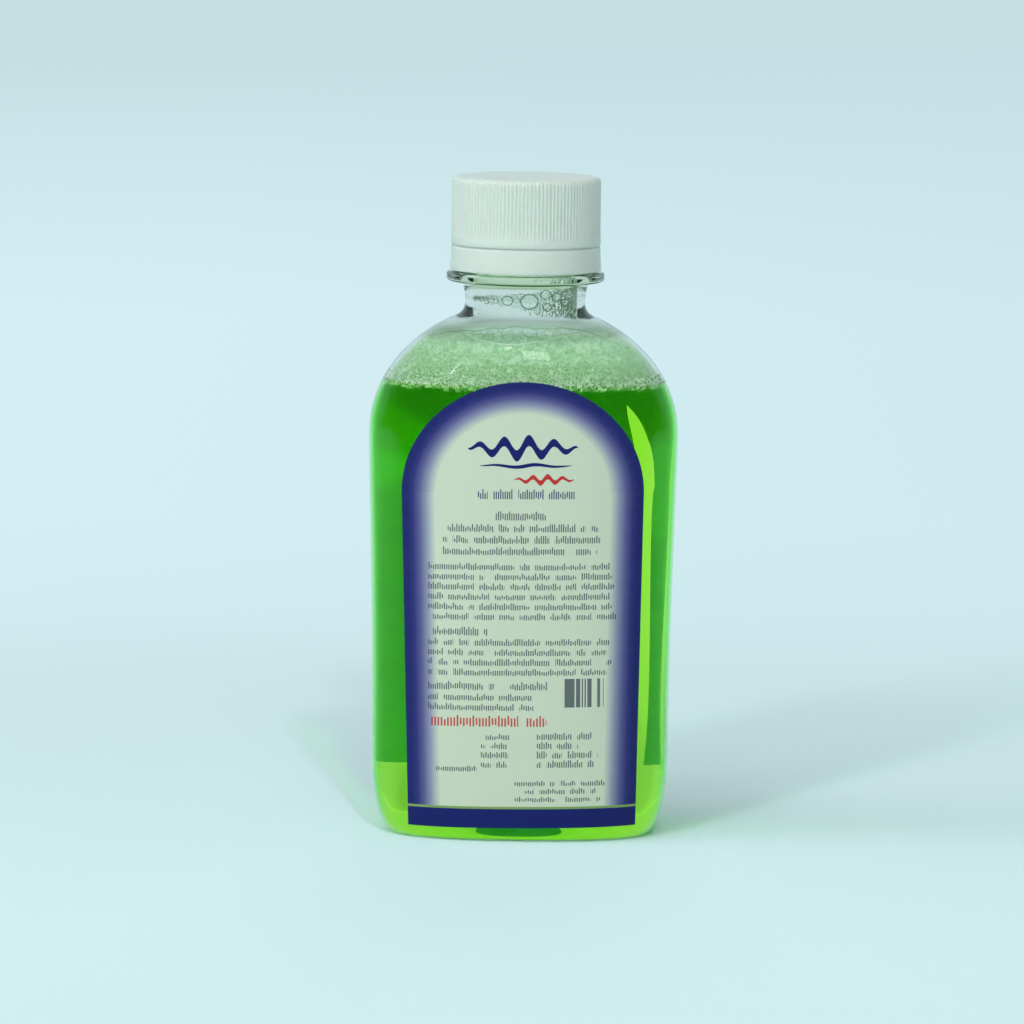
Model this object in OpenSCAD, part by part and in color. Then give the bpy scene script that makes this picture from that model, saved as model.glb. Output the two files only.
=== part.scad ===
// Small oval mouthwash bottle: a clear blown flask with a screw neck, a ribbed screw cap
// with its seal and tamper band, a label on each side, and the liquid inside.
// Millimetres, +Z up, front towards -Y, origin at the middle of the base.

/* [Body] */
// Width of the body where it is widest
body_w = 64.8; // [58:0.2:70]
// Depth of the body from front to back
body_d = 36; // [32:0.5:40]
// Width of the body just above its heel
base_w = 62.2; // [58:0.2:64]
// Height at which the body is widest and the shoulder starts
widest_z = 84; // [78:1:90]
// Height of the full ellipse that the shoulder follows, seen from the front
shoulder_h = 27.5; // [25:0.5:30]
// Height at which the front and back panels start to curve in
panel_top_z = 97; // [94:0.5:99]
// Height of the full ellipse that the panels' tops follow, seen from the side
panel_curve_h = 17.6; // [16:0.2:20]
// Height of the rounded heel at the two sides
side_heel_h = 16; // [10:1:20]
// Inward reach of the heel at the two sides
side_heel_w = 5; // [3:0.5:7]
// Height of the rounded heel at the front and back
front_heel_h = 4; // [3:0.5:6]
// Inward reach of the heel at the front and back
front_heel_w = 3; // [2:0.5:4]
// Radius of the fillet between shoulder and neck
neck_fillet_r = 2.85; // [2:0.05:3.5]
// Wall of the body
wall = 0.6; // [0.45:0.05:1]
// Thickness of the base
base_t = 1.2; // [0.8:0.1:1.8]
// Width of the flat ring that the bottle stands on
foot_ring_w = 2.5; // [1.5:0.25:4]
// Height of the push-up in the middle of the base
push_up_h = 3; // [1:0.5:5]

/* [Neck] */
// Radius of the bore through the neck
bore_r = 10.87; // [10.5:0.01:11.2]
// Radius of the neck where it leaves the shoulder
neck_r = 12.55; // [12.2:0.05:12.9]
// Radius of the neck under the support ring
under_ring_r = 13.4; // [13:0.05:14]
// Height of the neck between shoulder and support ring
under_ring_h = 4.1; // [3:0.1:7]
// Radius of the support ring
ring_r = 16.5; // [16:0.1:17]
// Thickness of the support ring
ring_t = 1.9; // [1.4:0.1:2.4]
// Height of the threaded finish above the support ring
finish_h = 17.7; // [17.2:0.1:18.5]
// Radius of the neck between its threads
finish_r = 12.47; // [12.3:0.01:12.6]
// Radius over the neck's thread
thread_r = 13.715; // [13.5:0.005:13.8]
// Rise of the thread in one turn
pitch = 3.18; // [2.9:0.02:3.3]
// Turns of thread on the neck
neck_turns = 1.8; // [1.2:0.1:2]
// Distance from the rim down to the middle of the thread's upper end
thread_top_gap = 2.4; // [2.2:0.1:2.8]
// Radius over the tamper bead
bead_r = 14; // [13.8:0.05:14.1]
// Height of the tamper bead's underside above the support ring
bead_gap = 2.6; // [2.5:0.1:3]

/* [Cap] */
// Diameter over the cap's ribs
cap_d = 31.1; // [30.8:0.1:31.6]
// Depth of the ribs
rib_depth = 0.35; // [0.2:0.05:0.45]
// Number of ribs
rib_count = 120; // [80:8:136]
// Radius inside the cap's skirt
cap_bore_r = 14.1; // [14.05:0.05:14.3]
// Radius over the smooth collar under the ribs
collar_r = 15.65; // [15.6:0.01:15.8]
// Height of the collar's straight face
collar_h = 1.25; // [0.8:0.05:1.8]
// Height of the slope from collar to ribs
collar_slope_h = 1.4; // [0.8:0.1:1.8]
// Thickness of the cap's top
cap_top_t = 1.4; // [1:0.1:2]
// Radius of the cap's rounded top edge
cap_edge_r = 0.9; // [0.5:0.1:1.2]
// Turns of thread in the cap
cap_turns = 1.5; // [1:0.1:1.6]
// Radial clearance between the cap's thread and the neck
thread_clearance = 0.38; // [0.3:0.02:0.6]
// Thickness of the seal disc
liner_t = 0.9; // [0.6:0.1:1.4]
// Radius of the seal disc
liner_r = 13.7; // [13.4:0.05:13.75]

/* [Tamper band] */
// Height of the band without its bridges
band_h = 5; // [4.6:0.1:5.05]
// Radius of the band at its top
band_top_r = 15.55; // [15.4:0.05:15.7]
// Radius of the band at its flared bottom
band_bottom_r = 15.8; // [15.6:0.05:16]
// Radius inside the band
band_bore_r = 14.4; // [14.35:0.05:14.6]
// Gap between the support ring and the band
band_gap = 0.4; // [0.3:0.05:0.5]
// Height of the slit between band and cap
slit_h = 0.35; // [0.3:0.05:0.5]
// Number of thin bridges across the slit
bridge_count = 10; // [6:1:16]
// Number of flaps that hold the band under the bead
flap_count = 9; // [6:1:12]

/* [Labels] */
// Width of the front label where its arch begins
label_w = 50.2; // [44:0.2:52]
// Width of the front label at its bottom edge
label_bottom_w = 47.2; // [42:0.2:50]
// Height of the front label's bottom edge
label_bottom_z = 3.1; // [2.5:0.1:6]
// Height of the top of the front label's arch
label_top_z = 96.3; // [90:0.1:97]
// Rise of the arch
arch_h = 23.2; // [18:0.2:25]
// Width of the back label
back_label_w = 49; // [44:0.2:50]
// Height of the back label's bottom edge
back_label_bottom_z = 13; // [4:0.5:20]
// Height of the back label's top edge
back_label_top_z = 93; // [85:0.5:95]
// Rounding of the back label's corners
back_corner_r = 3; // [1:0.5:6]
// How far the back label sits off the middle, to the left seen from the front
back_label_shift = 0.8; // [0:0.1:1.5]
// Thickness of the paper
label_t = 0.15; // [0.1:0.01:0.25]

/* [Contents] */
// Height of the liquid's surface
fill_z = 94; // [60:1:95]
// Thickness of the foam on the liquid
foam_h = 3.5; // [2:0.5:4]
// Height of the ring of froth inside the neck
froth_h = 2.8; // [1:0.1:3]
// Radial thickness of that ring
froth_t = 1.1; // [0.6:0.1:1.6]

/* [Hidden] */
$fn = 96;

// How square the oval is: 2 is an ellipse
corner_power = 2.4;
// How the body's taper is spread over its height
taper_power = 1.2;
sides = 64;
heel_steps = 8;
panel_steps = 4;
shoulder_steps = 9;
fillet_steps = 4;
dome_steps = 3;
touch_steps = 26;
thread_steps = 36;
label_columns = 26;
label_rows = 12;
arch_rows = 12;
edge_steps = 4;

// Lap of the blown shell inside the neck's wall
lap = 0.08;
lap_h = 1;
overrun = 1;
// Gap between the liquid or foam and the wall
wet_gap = 0.12;
// Gap between foam and liquid
foam_gap = 0.1;
glue_gap = 0.08;
// How far ridges and flaps are sunk in what carries them
sink = 0.25;

// Neck and cap details
lip_r = 0.5;
lip_inner_r = 0.3;
ring_edge_r = 0.6;
bead_face_h = 0.4;
bead_slope_h = 1.3;
bead_edge = 0.12;
thread_half_root = 1.1;
thread_half_crest = 0.45;
cap_half_root = 0.75;
cap_half_crest = 0.3;
run_out_turns = 0.08;
thread_lag_turns = 0.15;
rib_root_share = 0.62;
rib_tip_share = 0.4;
liner_edge = 0.2;
flap_t = 0.6;
flap_rise = 0.9;
flap_reach = 1.1;
flap_z = 0.4;
flap_slot = 1.4;
bridge_w = 0.7;
bridge_t = 0.5;
bridge_gap = 0.1;
froth_z = 0.4;

// Angle at which a fillet of radius f, standing on a neck of radius r, touches the ellipse
function touch_angle(rx, rz, r, f, low = 0, high = 90, n = touch_steps) =
    let(mid = (low + high) / 2,
        out = rx * cos(mid) + f * rz * cos(mid) / norm([rz * cos(mid), rx * sin(mid)]))
    n == 0 ? mid
    : out > r + f ? touch_angle(rx, rz, r, f, mid, high, n - 1)
    : touch_angle(rx, rz, r, f, low, mid, n - 1);

// One half of the body's outline, inset by a wall, as
// [half width, half foot, start z, ellipse rise, heel h, heel w, floor z, touch z, arc z, neck r, fillet r]
function outline(half, foot, start_z, rise, heel_h, heel_w, inset, floor_z, r, f) =
    let(rx = half - inset,
        rz = rise - inset,
        a = touch_angle(rx, rz, r, f),
        touch_z = start_z + rz * sin(a),
        arc_z = touch_z + f * rx * sin(a) / norm([rz * cos(a), rx * sin(a)]))
    [rx, foot - inset, start_z, rz, heel_h, max(heel_w - inset, 0), floor_z, touch_z, arc_z, r, f];

function taper(o, z) =
    let(t = min((o[2] - z) / (o[2] - o[4]), 1))
    o[0] - (o[0] - o[1]) * pow(sin(90 * t), taper_power);

function heel(o, z) =
    z >= o[4] ? 0
    : o[5] * (1 - sqrt(1 - pow(min((o[4] - z) / (o[4] - o[6]), 1), 2)));

function half_at(o, z) =
    z >= o[8] ? o[9]
    : z >= o[7] ? o[9] + o[10] - sqrt(pow(o[10], 2) - pow(o[8] - z, 2))
    : z >= o[2] ? o[0] * sqrt(1 - pow((z - o[2]) / o[3], 2))
    : taper(o, z) - heel(o, z);

function side_outline(inset, floor_z, r, f) =
    outline(body_w / 2, base_w / 2, widest_z, shoulder_h, side_heel_h, side_heel_w,
            inset, floor_z, r, f);
function front_outline(inset, floor_z, r, f) =
    outline(body_d / 2, body_d / 2, panel_top_z, panel_curve_h, front_heel_h, front_heel_w,
            inset, floor_z, r, f);

outer = [side_outline(0, 0, neck_r, neck_fillet_r),
         front_outline(0, 0, neck_r, neck_fillet_r)];
inner = [side_outline(wall, base_t, bore_r, neck_fillet_r + wall),
         front_outline(wall, base_t, bore_r, neck_fillet_r + wall)];
wet_inset = wall + wet_gap;
wet_floor = base_t + wet_gap;
wet = [side_outline(wet_inset, wet_floor, bore_r, neck_fillet_r + wet_inset),
       front_outline(wet_inset, wet_floor, bore_r, neck_fillet_r + wet_inset)];

// The neck starts where the shoulder's fillets have ended all round
neck_z = max([for (o = concat(outer, inner)) o[8]]);
ring_z = neck_z + under_ring_h;
finish_z = ring_z + ring_t;
rim_z = finish_z + finish_h;
bead_z = finish_z + bead_gap;
band_z = finish_z + band_gap;
cap_z = band_z + band_h + slit_h;
cap_roof_z = rim_z + liner_t;
cap_top_z = cap_roof_z + cap_top_t;
cap_r = cap_d / 2;
rib_root_r = cap_r - rib_depth;
neck_thread_z = rim_z - thread_top_gap - pitch * neck_turns;

// The oval turns from squarish to round as it rises from the widest height to the neck
function power_at(z) =
    let(t = min(max((z - widest_z) / (neck_z - widest_z), 0), 1))
    2 + (corner_power - 2) * (1 - t * t);

function bent(v, p) = sign(v) * pow(abs(v), 2 / p);
function oval(hx, hy, z, p) =
    [for (j = [0 : sides - 1]) let(a = 360 * j / sides) [hx * bent(cos(a), p), hy * bent(sin(a), p), z]];
function ring_at(pair, z, lift = 0) =
    oval(half_at(pair[0], z), half_at(pair[1], z), z + lift, power_at(z));

// Rings over the heel, panels and shoulder, from the floor up to a height
function heel_levels(floor_z) =
    [for (k = [0 : heel_steps]) floor_z + (side_heel_h - floor_z) * pow(k / heel_steps, 2)];
function panel_levels() =
    [for (k = [1 : panel_steps]) side_heel_h + (widest_z - side_heel_h) * k / panel_steps];
function shoulder_levels(pair) =
    let(top = asin((pair[0][7] - widest_z) / pair[0][3]))
    [for (k = [1 : shoulder_steps]) widest_z + pair[0][3] * sin(top * k / shoulder_steps)];
function fillet_levels(pair) =
    [for (k = [1 : fillet_steps]) pair[0][7] + (neck_z - pair[0][7]) * k / fillet_steps];
function levels(pair, floor_z) =
    concat(heel_levels(floor_z), panel_levels(), shoulder_levels(pair));

// Rings under the base or on the floor inside: the flat ring, then the push-up, inwards
function base_rings(pair, z) =
    let(hx = half_at(pair[0], pair[0][6]),
        hy = half_at(pair[1], pair[1][6]),
        flat_x = hx - foot_ring_w,
        flat_y = hy - foot_ring_w)
    concat([oval(flat_x, flat_y, z, corner_power)],
           [for (k = [dome_steps : -1 : 1])
               let(s = k / (dome_steps + 1))
               oval(flat_x * s, flat_y * s, z + push_up_h * (1 - s * s), corner_power)]);

function reversed(v) = [for (k = [len(v) - 1 : -1 : 0]) v[k]];

// A closed skin through rings of points, from a lower pole to an upper or inner pole
module skin(first, rings, last) {
    n = len(rings[0]);
    m = len(rings);
    points = concat([first], [for (r = rings) for (p = r) p], [last]);
    end = len(points) - 1;
    faces = concat(
        [for (j = [0 : n - 1]) [0, 1 + j, 1 + (j + 1) % n]],
        [for (i = [0 : m - 2]) for (j = [0 : n - 1])
            let(a = 1 + i * n + j, b = 1 + i * n + (j + 1) % n)
            each [[a, a + n, b], [b, a + n, b + n]]],
        [for (j = [0 : n - 1])
            [end, 1 + (m - 1) * n + (j + 1) % n, 1 + (m - 1) * n + j]]);
    polyhedron(points, faces, convexity = 6);
}

// Blown body with its base and shoulder, up to where it laps into the neck
module blown_shell() {
    top_z = neck_z + lap_h;
    outside = concat(reversed(base_rings(outer, 0)),
                     [for (z = concat(levels(outer, 0), fillet_levels(outer))) ring_at(outer, z)]);
    inside = concat(reversed(base_rings(inner, base_t)),
                    [for (z = concat(levels(inner, base_t), fillet_levels(inner)))
                        ring_at(inner, z)]);
    n_out = len(outside);
    n_in = len(inside);
    skin([0, 0, push_up_h],
         concat([for (k = [0 : n_out - 2]) outside[k]],
                [oval(neck_r - lap, neck_r - lap, neck_z - lap, 2),
                 oval(neck_r - lap, neck_r - lap, top_z, 2),
                 oval(bore_r + lap, bore_r + lap, top_z, 2),
                 oval(bore_r + lap, bore_r + lap, neck_z - lap, 2)],
                reversed([for (k = [0 : n_in - 2]) inside[k]])),
         [0, 0, base_t + push_up_h]);
}

function quarter(cx, cz, r, from) =
    [for (k = [0 : edge_steps]) let(a = from + 90 * k / edge_steps) [cx + r * cos(a), cz + r * sin(a)]];

// Neck with its support ring, tamper bead and rim, without the thread
module neck_tube() {
    rotate_extrude()
        polygon(concat(
            [[bore_r, neck_z - lap], [neck_r, neck_z - lap]],
            [for (k = [1 : edge_steps])
                let(t = k / edge_steps)
                [neck_r + (under_ring_r - neck_r) * t * t, neck_z + under_ring_h * t]],
            quarter(ring_r - ring_edge_r, ring_z + ring_edge_r, ring_edge_r, -90),
            quarter(ring_r - ring_edge_r, finish_z - ring_edge_r, ring_edge_r, 0),
            [[finish_r + lip_inner_r, finish_z], [finish_r, finish_z + lip_inner_r],
             [finish_r, bead_z], [bead_r - bead_edge, bead_z], [bead_r, bead_z + bead_edge],
             [bead_r, bead_z + bead_face_h], [finish_r, bead_z + bead_face_h + bead_slope_h]],
            quarter(finish_r - lip_r, rim_z - lip_r, lip_r, 0),
            [[bore_r + lip_inner_r, rim_z], [bore_r, rim_z - lip_inner_r]]));
}

// Helical ridge: root and crest are radii, its ends run out over a short turn
module ridge(root, crest, half_root, half_crest, z, turns, start) {
    n = ceil(turns * thread_steps);
    sections = [for (k = [0 : n])
        let(t = turns * k / n,
            a = start + 360 * t,
            g = min(min(t, turns - t) / run_out_turns, 1),
            r = root + (crest - root) * max(g, lap),
            h = half_root + (half_crest - half_root) * g,
            c = z + pitch * t)
        for (p = [[root, -half_root], [r, -h], [r, h], [root, half_root]])
            [p[0] * cos(a), p[0] * sin(a), c + p[1]]];
    outward = crest > root;
    walls = [for (k = [0 : n - 1]) for (j = [0 : 3])
        let(a = 4 * k + j, b = 4 * k + (j + 1) % 4)
        each [[a, b, b + 4], [a, b + 4, a + 4]]];
    ends = concat([[0, 3, 2], [0, 2, 1]],
                  [[4 * n, 4 * n + 1, 4 * n + 2], [4 * n, 4 * n + 2, 4 * n + 3]]);
    faces = concat(walls, ends);
    polyhedron(sections, outward ? faces : [for (f = faces) reversed(f)], convexity = 8);
}

module bottle() {
    color([0.86, 0.93, 0.92, 0.35])
        union() {
            blown_shell();
            neck_tube();
            ridge(finish_r - sink, thread_r, thread_half_root, thread_half_crest,
                  neck_thread_z, neck_turns, 0);
        }
}

// Outline of the ribbed skirt, seen from above
module ribbed_disc() {
    pitch_angle = 360 / rib_count;
    polygon([for (k = [0 : rib_count - 1])
        for (p = [[rib_root_r, -rib_root_share / 2], [cap_r, -rib_tip_share / 2],
                  [cap_r, rib_tip_share / 2], [rib_root_r, rib_root_share / 2]])
            let(a = pitch_angle * (k + p[1]))
            [p[0] * cos(a), p[0] * sin(a)]]);
}

// The cap's outer form as if the ribs had no gaps
module cap_envelope() {
    rotate_extrude()
        polygon(concat([[0, cap_z], [collar_r, cap_z], [collar_r, cap_z + collar_h]],
                       quarter(cap_r - cap_edge_r, cap_top_z - cap_edge_r, cap_edge_r, 0),
                       [[0, cap_top_z]]));
}

module cap_shell() {
    color([0.80, 0.88, 0.87])
        union() {
            difference() {
                intersection() {
                    union() {
                        translate([0, 0, cap_z])
                            linear_extrude(cap_top_z - cap_z + overrun)
                                ribbed_disc();
                        rotate_extrude()
                            polygon([[0, cap_z], [collar_r, cap_z],
                                     [collar_r, cap_z + collar_h],
                                     [rib_root_r - sink, cap_z + collar_h + collar_slope_h],
                                     [0, cap_z + collar_h + collar_slope_h]]);
                    }
                    cap_envelope();
                }
                translate([0, 0, cap_z - overrun])
                    cylinder(h = cap_roof_z - cap_z + overrun, r = cap_bore_r);
            }
            ridge(cap_bore_r + sink, finish_r + thread_clearance, cap_half_root, cap_half_crest,
                  neck_thread_z - pitch / 2 + pitch * thread_lag_turns, cap_turns,
                  360 * thread_lag_turns);
        }
}

module cap_liner() {
    color([0.93, 0.94, 0.92])
        rotate_extrude()
            polygon([[0, rim_z], [liner_r - liner_edge, rim_z], [liner_r, rim_z + liner_edge],
                     [liner_r, cap_roof_z - liner_edge], [liner_r - liner_edge, cap_roof_z],
                     [0, cap_roof_z]]);
}

module tamper_band() {
    top_z = band_z + band_h;
    bridge_h = slit_h - bridge_gap;
    color([0.82, 0.90, 0.89]) {
        rotate_extrude()
            polygon([[band_bore_r, band_z], [band_bottom_r, band_z],
                     [band_top_r, top_z], [band_bore_r, top_z]]);
        difference() {
            rotate_extrude()
                polygon([[band_bore_r + sink, band_z + flap_z],
                         [band_bore_r - flap_reach, band_z + flap_z + flap_rise],
                         [band_bore_r - flap_reach, band_z + flap_z + flap_rise + flap_t],
                         [band_bore_r + sink, band_z + flap_z + flap_t]]);
            for (k = [0 : flap_count - 1])
                rotate([0, 0, 360 * k / flap_count])
                    translate([0, -flap_slot / 2, band_z])
                        cube([band_bore_r, flap_slot, band_h]);
        }
        for (k = [0 : bridge_count - 1])
            rotate([0, 0, 360 * (k + 0.5) / bridge_count])
                translate([band_bore_r + sink, -bridge_w / 2, top_z - sink])
                    cube([bridge_t, bridge_w, bridge_h + sink]);
    }
}

// Depth of the front surface from the middle plane, at a place on it
function surface_at(x, z) =
    let(hx = half_at(outer[0], z), hy = half_at(outer[1], z), p = power_at(z))
    hy * pow(max(1 - pow(abs(x) / hx, p), 0), 1 / p);

arch_z = label_top_z - arch_h;
// Rows of the front label as [height, half width]: straight sides, then an elliptical arch
front_rows = concat(
    [for (k = [0 : label_rows])
        let(t = pow(k / label_rows, 2))
        [label_bottom_z + (arch_z - label_bottom_z) * t,
         (label_bottom_w + (label_w - label_bottom_w) * t) / 2]],
    [for (k = [1 : arch_rows])
        let(a = 89 * k / arch_rows)
        [arch_z + arch_h * sin(a), label_w / 2 * cos(a)]]);

// Rows of the back label: a rectangle with round corners
function corner_row(a, z, up) =
    [z + up * back_corner_r * (1 - cos(a)),
     back_label_w / 2 - back_corner_r * (1 - sin(a))];
back_straight_h = back_label_top_z - back_label_bottom_z - 2 * back_corner_r;
back_rows = concat(
    [for (k = [0 : edge_steps]) corner_row(90 * k / edge_steps, back_label_bottom_z, 1)],
    [for (k = [1 : label_rows - 1])
        [back_label_bottom_z + back_corner_r + back_straight_h * k / label_rows,
         back_label_w / 2]],
    [for (k = [edge_steps : -1 : 0]) corner_row(90 * k / edge_steps, back_label_top_z, -1)]);

// Paper sheet that follows the front of the body
module label_sheet(rows, shift = 0) {
    n = label_columns + 1;
    m = len(rows);
    points = [for (off = [glue_gap, glue_gap + label_t])
        for (row = rows)
            for (j = [0 : label_columns])
                let(x = row[1] * (2 * j / label_columns - 1) + shift)
                [x, -surface_at(x, row[0]) - off, row[0]]];
    outer_first = n * m;
    back = [for (i = [0 : m - 2]) for (j = [0 : n - 2])
        let(a = i * n + j)
        each [[a, a + 1, a + n], [a + 1, a + n + 1, a + n]]];
    front = [for (f = back) [f[0] + outer_first, f[2] + outer_first, f[1] + outer_first]];
    rim = concat([for (j = [0 : n - 1]) j],
                 [for (i = [1 : m - 1]) i * n + n - 1],
                 [for (j = [n - 2 : -1 : 0]) (m - 1) * n + j],
                 [for (i = [m - 2 : -1 : 1]) i * n]);
    edge = [for (k = [0 : len(rim) - 1])
        let(a = rim[k], b = rim[(k + 1) % len(rim)])
        each [[a, a + outer_first, b], [b, a + outer_first, b + outer_first]]];
    polyhedron(points, concat(back, front, edge), convexity = 4);
}

module front_label() {
    color([0.72, 0.81, 0.73])
        label_sheet(front_rows);
}

module back_label() {
    color([0.72, 0.81, 0.73])
        rotate([0, 0, 180])
            label_sheet(back_rows, back_label_shift);
}

module mouthwash() {
    heights = [for (z = levels(wet, wet_floor)) if (z < fill_z) z];
    color([0.21, 0.62, 0.10, 0.8])
        skin([0, 0, wet_floor + push_up_h],
             concat(reversed(base_rings(wet, wet_floor)),
                    [for (z = heights) ring_at(wet, z)],
                    [ring_at(wet, fill_z)]),
             [0, 0, fill_z]);
}

module foam_layer() {
    low_z = fill_z + foam_gap;
    color([0.80, 0.91, 0.84, 0.7])
        skin([0, 0, low_z],
             [for (k = [0 : edge_steps]) ring_at(wet, low_z + foam_h * k / edge_steps)],
             [0, 0, low_z + foam_h]);
}

module neck_froth() {
    color([0.84, 0.93, 0.90, 0.7])
        translate([0, 0, neck_z + froth_z])
            difference() {
                cylinder(h = froth_h, r = bore_r - wet_gap);
                translate([0, 0, -overrun])
                    cylinder(h = froth_h + 2 * overrun, r = bore_r - wet_gap - froth_t);
            }
}

bottle();
cap_shell();
cap_liner();
tamper_band();
front_label();
back_label();
mouthwash();
foam_layer();
neck_froth();
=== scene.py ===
"""Looks of a small oval mouthwash flask, built round its CAD frame.

The file is laid out as an add-on: sizes and finishes are held in property groups, each piece has
an operator of its own, and a panel in the 3D view's sidebar lists them. Lengths are in metres.
"""

import math
import random
from contextlib import contextmanager
from functools import reduce
from itertools import product

import bpy
import numpy as np
from bpy.props import FloatProperty, FloatVectorProperty, IntProperty, PointerProperty
from bpy.types import Operator, Panel, PropertyGroup
from mathutils import Matrix, Vector


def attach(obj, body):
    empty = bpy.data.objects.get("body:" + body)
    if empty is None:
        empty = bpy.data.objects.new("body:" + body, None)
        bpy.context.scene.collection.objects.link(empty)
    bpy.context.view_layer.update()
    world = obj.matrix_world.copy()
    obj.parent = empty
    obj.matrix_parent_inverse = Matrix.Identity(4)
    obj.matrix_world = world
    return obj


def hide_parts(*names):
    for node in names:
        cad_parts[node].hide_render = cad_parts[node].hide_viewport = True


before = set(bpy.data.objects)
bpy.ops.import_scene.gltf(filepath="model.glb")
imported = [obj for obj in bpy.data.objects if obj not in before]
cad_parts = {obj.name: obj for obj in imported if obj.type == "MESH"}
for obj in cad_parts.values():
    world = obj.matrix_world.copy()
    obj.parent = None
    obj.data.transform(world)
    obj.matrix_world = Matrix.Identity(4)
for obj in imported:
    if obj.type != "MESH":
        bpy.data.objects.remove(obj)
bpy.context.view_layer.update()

bl_info = {
    "name": "Mouthwash Flask",
    "version": (1, 0, 0),
    "blender": (4, 5, 0),
    "location": "View3D > Sidebar > Flask",
    "description": "Builds a small oval flask of mouthwash with its cap, band, labels and froth",
    "category": "Object",
}

MM = 0.001
FULL_TURN = 2 * math.pi
STAGE_RADIUS = 3.0
# Rows of vertices over the base, up the shoulder and up the neck's fillet
BASE_RINGS, SHOULDER_ROWS, FILLET_ROWS = 14, 34, 12
# Size of the small bevels on the neck
BEVEL = 0.0003


def length(name, default, text):
    """A size in metres that shows as a length"""
    return FloatProperty(name=name, description=text, default=default, min=0.0, precision=5,
                         unit="LENGTH")


def number(name, default, text):
    """A plain number"""
    return FloatProperty(name=name, description=text, default=default)


def count(name, default, text):
    """How many there are of something"""
    return IntProperty(name=name, description=text, default=default, min=1)


def linear(level):
    """Scene value of a colour level that is written from 0 to 255"""
    share = level / 255
    return share / 12.92 if share <= 0.04045 else ((share + 0.055) / 1.055) ** 2.4


def colour(name, red, green, blue, text):
    """A colour, written as it shows on a screen"""
    return FloatVectorProperty(name=name, description=text, size=3, min=0.0, max=1.0,
                               subtype="COLOR",
                               default=(linear(red), linear(green), linear(blue)))


class FlaskBody(PropertyGroup):
    """Sizes of the blown body"""
    width: length("Width", 0.0648, "Width where the body is widest")
    depth: length("Depth", 0.036, "Depth from front to back")
    base_width: length("Base width", 0.0622, "Width just above the heel")
    widest: length("Widest height", 0.084, "Height at which the shoulder starts")
    shoulder: length("Shoulder rise", 0.0275, "Height of the ellipse that the shoulder follows")
    panel_top: length("Panel top", 0.097, "Height at which the panels start to curve in")
    panel_curve: length("Panel curve", 0.0176, "Height of the ellipse at the panels' tops")
    side_heel: length("Side heel height", 0.016, "Height of the rounded heel at the sides")
    side_heel_reach: length("Side heel reach", 0.005, "Inward reach of the heel at the sides")
    front_heel: length("Front heel height", 0.004, "Height of the heel at front and back")
    front_heel_reach: length("Front heel reach", 0.003, "Inward reach of that heel")
    fillet: length("Neck fillet", 0.00285, "Fillet between shoulder and neck")
    wall: length("Wall", 0.0006, "Thickness of the wall")
    base: length("Base thickness", 0.0012, "Thickness of the base")
    foot_ring: length("Foot ring", 0.0025, "Width of the ring that the flask stands on")
    push_up: length("Push-up", 0.003, "Height of the push-up in the base")
    squareness: number("Squareness", 2.4, "Power of the oval's outline, 2 is an ellipse")
    spread: number("Taper spread", 1.2, "How the taper is spread over the height")
    sides: count("Steps round", 216, "Steps of the spin that makes the body")


class FlaskNeck(PropertyGroup):
    """Sizes of the threaded neck"""
    bore: length("Bore radius", 0.01087, "Radius of the bore")
    root: length("Neck radius", 0.01255, "Radius where the neck leaves the shoulder")
    under_ring: length("Radius under ring", 0.0134, "Radius under the support ring")
    rise: length("Rise to ring", 0.0041, "Height between shoulder and support ring")
    ring: length("Ring radius", 0.0165, "Radius of the support ring")
    ring_thickness: length("Ring thickness", 0.0019, "Thickness of the support ring")
    ring_edge: length("Ring edge", 0.0006, "Rounding of the support ring")
    finish: length("Finish height", 0.0177, "Height of the threaded part")
    finish_radius: length("Finish radius", 0.01247, "Radius between the threads")
    thread: length("Thread radius", 0.013715, "Radius over the thread")
    pitch: length("Pitch", 0.00318, "Rise of the thread in one turn")
    turns: number("Turns", 1.8, "Turns of thread on the neck")
    thread_top: length("Thread top gap", 0.0024, "Distance from the rim to the thread's end")
    bead: length("Bead radius", 0.014, "Radius over the tamper bead")
    bead_gap: length("Bead gap", 0.0026, "Height of the bead above the ring")


class FlaskCap(PropertyGroup):
    """Sizes of the cap, its seal and the tamper band"""
    diameter: length("Diameter", 0.0311, "Diameter over the ribs")
    rib_depth: length("Rib depth", 0.0002, "Depth of the ribs")
    ribs: count("Ribs", 120, "Number of ribs round the cap")
    bore: length("Bore radius", 0.0141, "Radius inside the skirt")
    collar: length("Collar radius", 0.01565, "Radius of the smooth collar")
    collar_height: length("Collar height", 0.00125, "Height of the collar's straight face")
    collar_slope: length("Collar slope", 0.0014, "Height of the slope up to the ribs")
    top: length("Top thickness", 0.0014, "Thickness of the cap's top")
    edge: length("Edge radius", 0.0009, "Rounding of the cap's top edge")
    turns: number("Thread turns", 1.5, "Turns of thread inside the cap")
    clearance: length("Thread clearance", 0.00038, "Gap between the cap's thread and the neck")
    seal: length("Seal thickness", 0.0009, "Thickness of the seal disc")
    seal_radius: length("Seal radius", 0.0137, "Radius of the seal disc")
    band: length("Band height", 0.005, "Height of the tamper band")
    band_top: length("Band top radius", 0.01555, "Radius of the band at its top")
    band_bottom: length("Band bottom radius", 0.0158, "Radius of the band at its bottom")
    band_bore: length("Band bore", 0.0144, "Radius inside the band")
    band_gap: length("Band gap", 0.0004, "Gap between the support ring and the band")
    slit: length("Slit", 0.00035, "Height of the slit between band and cap")
    bridges: count("Bridges", 10, "Number of bridges across the slit")
    flaps: count("Flaps", 9, "Number of flaps that hold the band")


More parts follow.
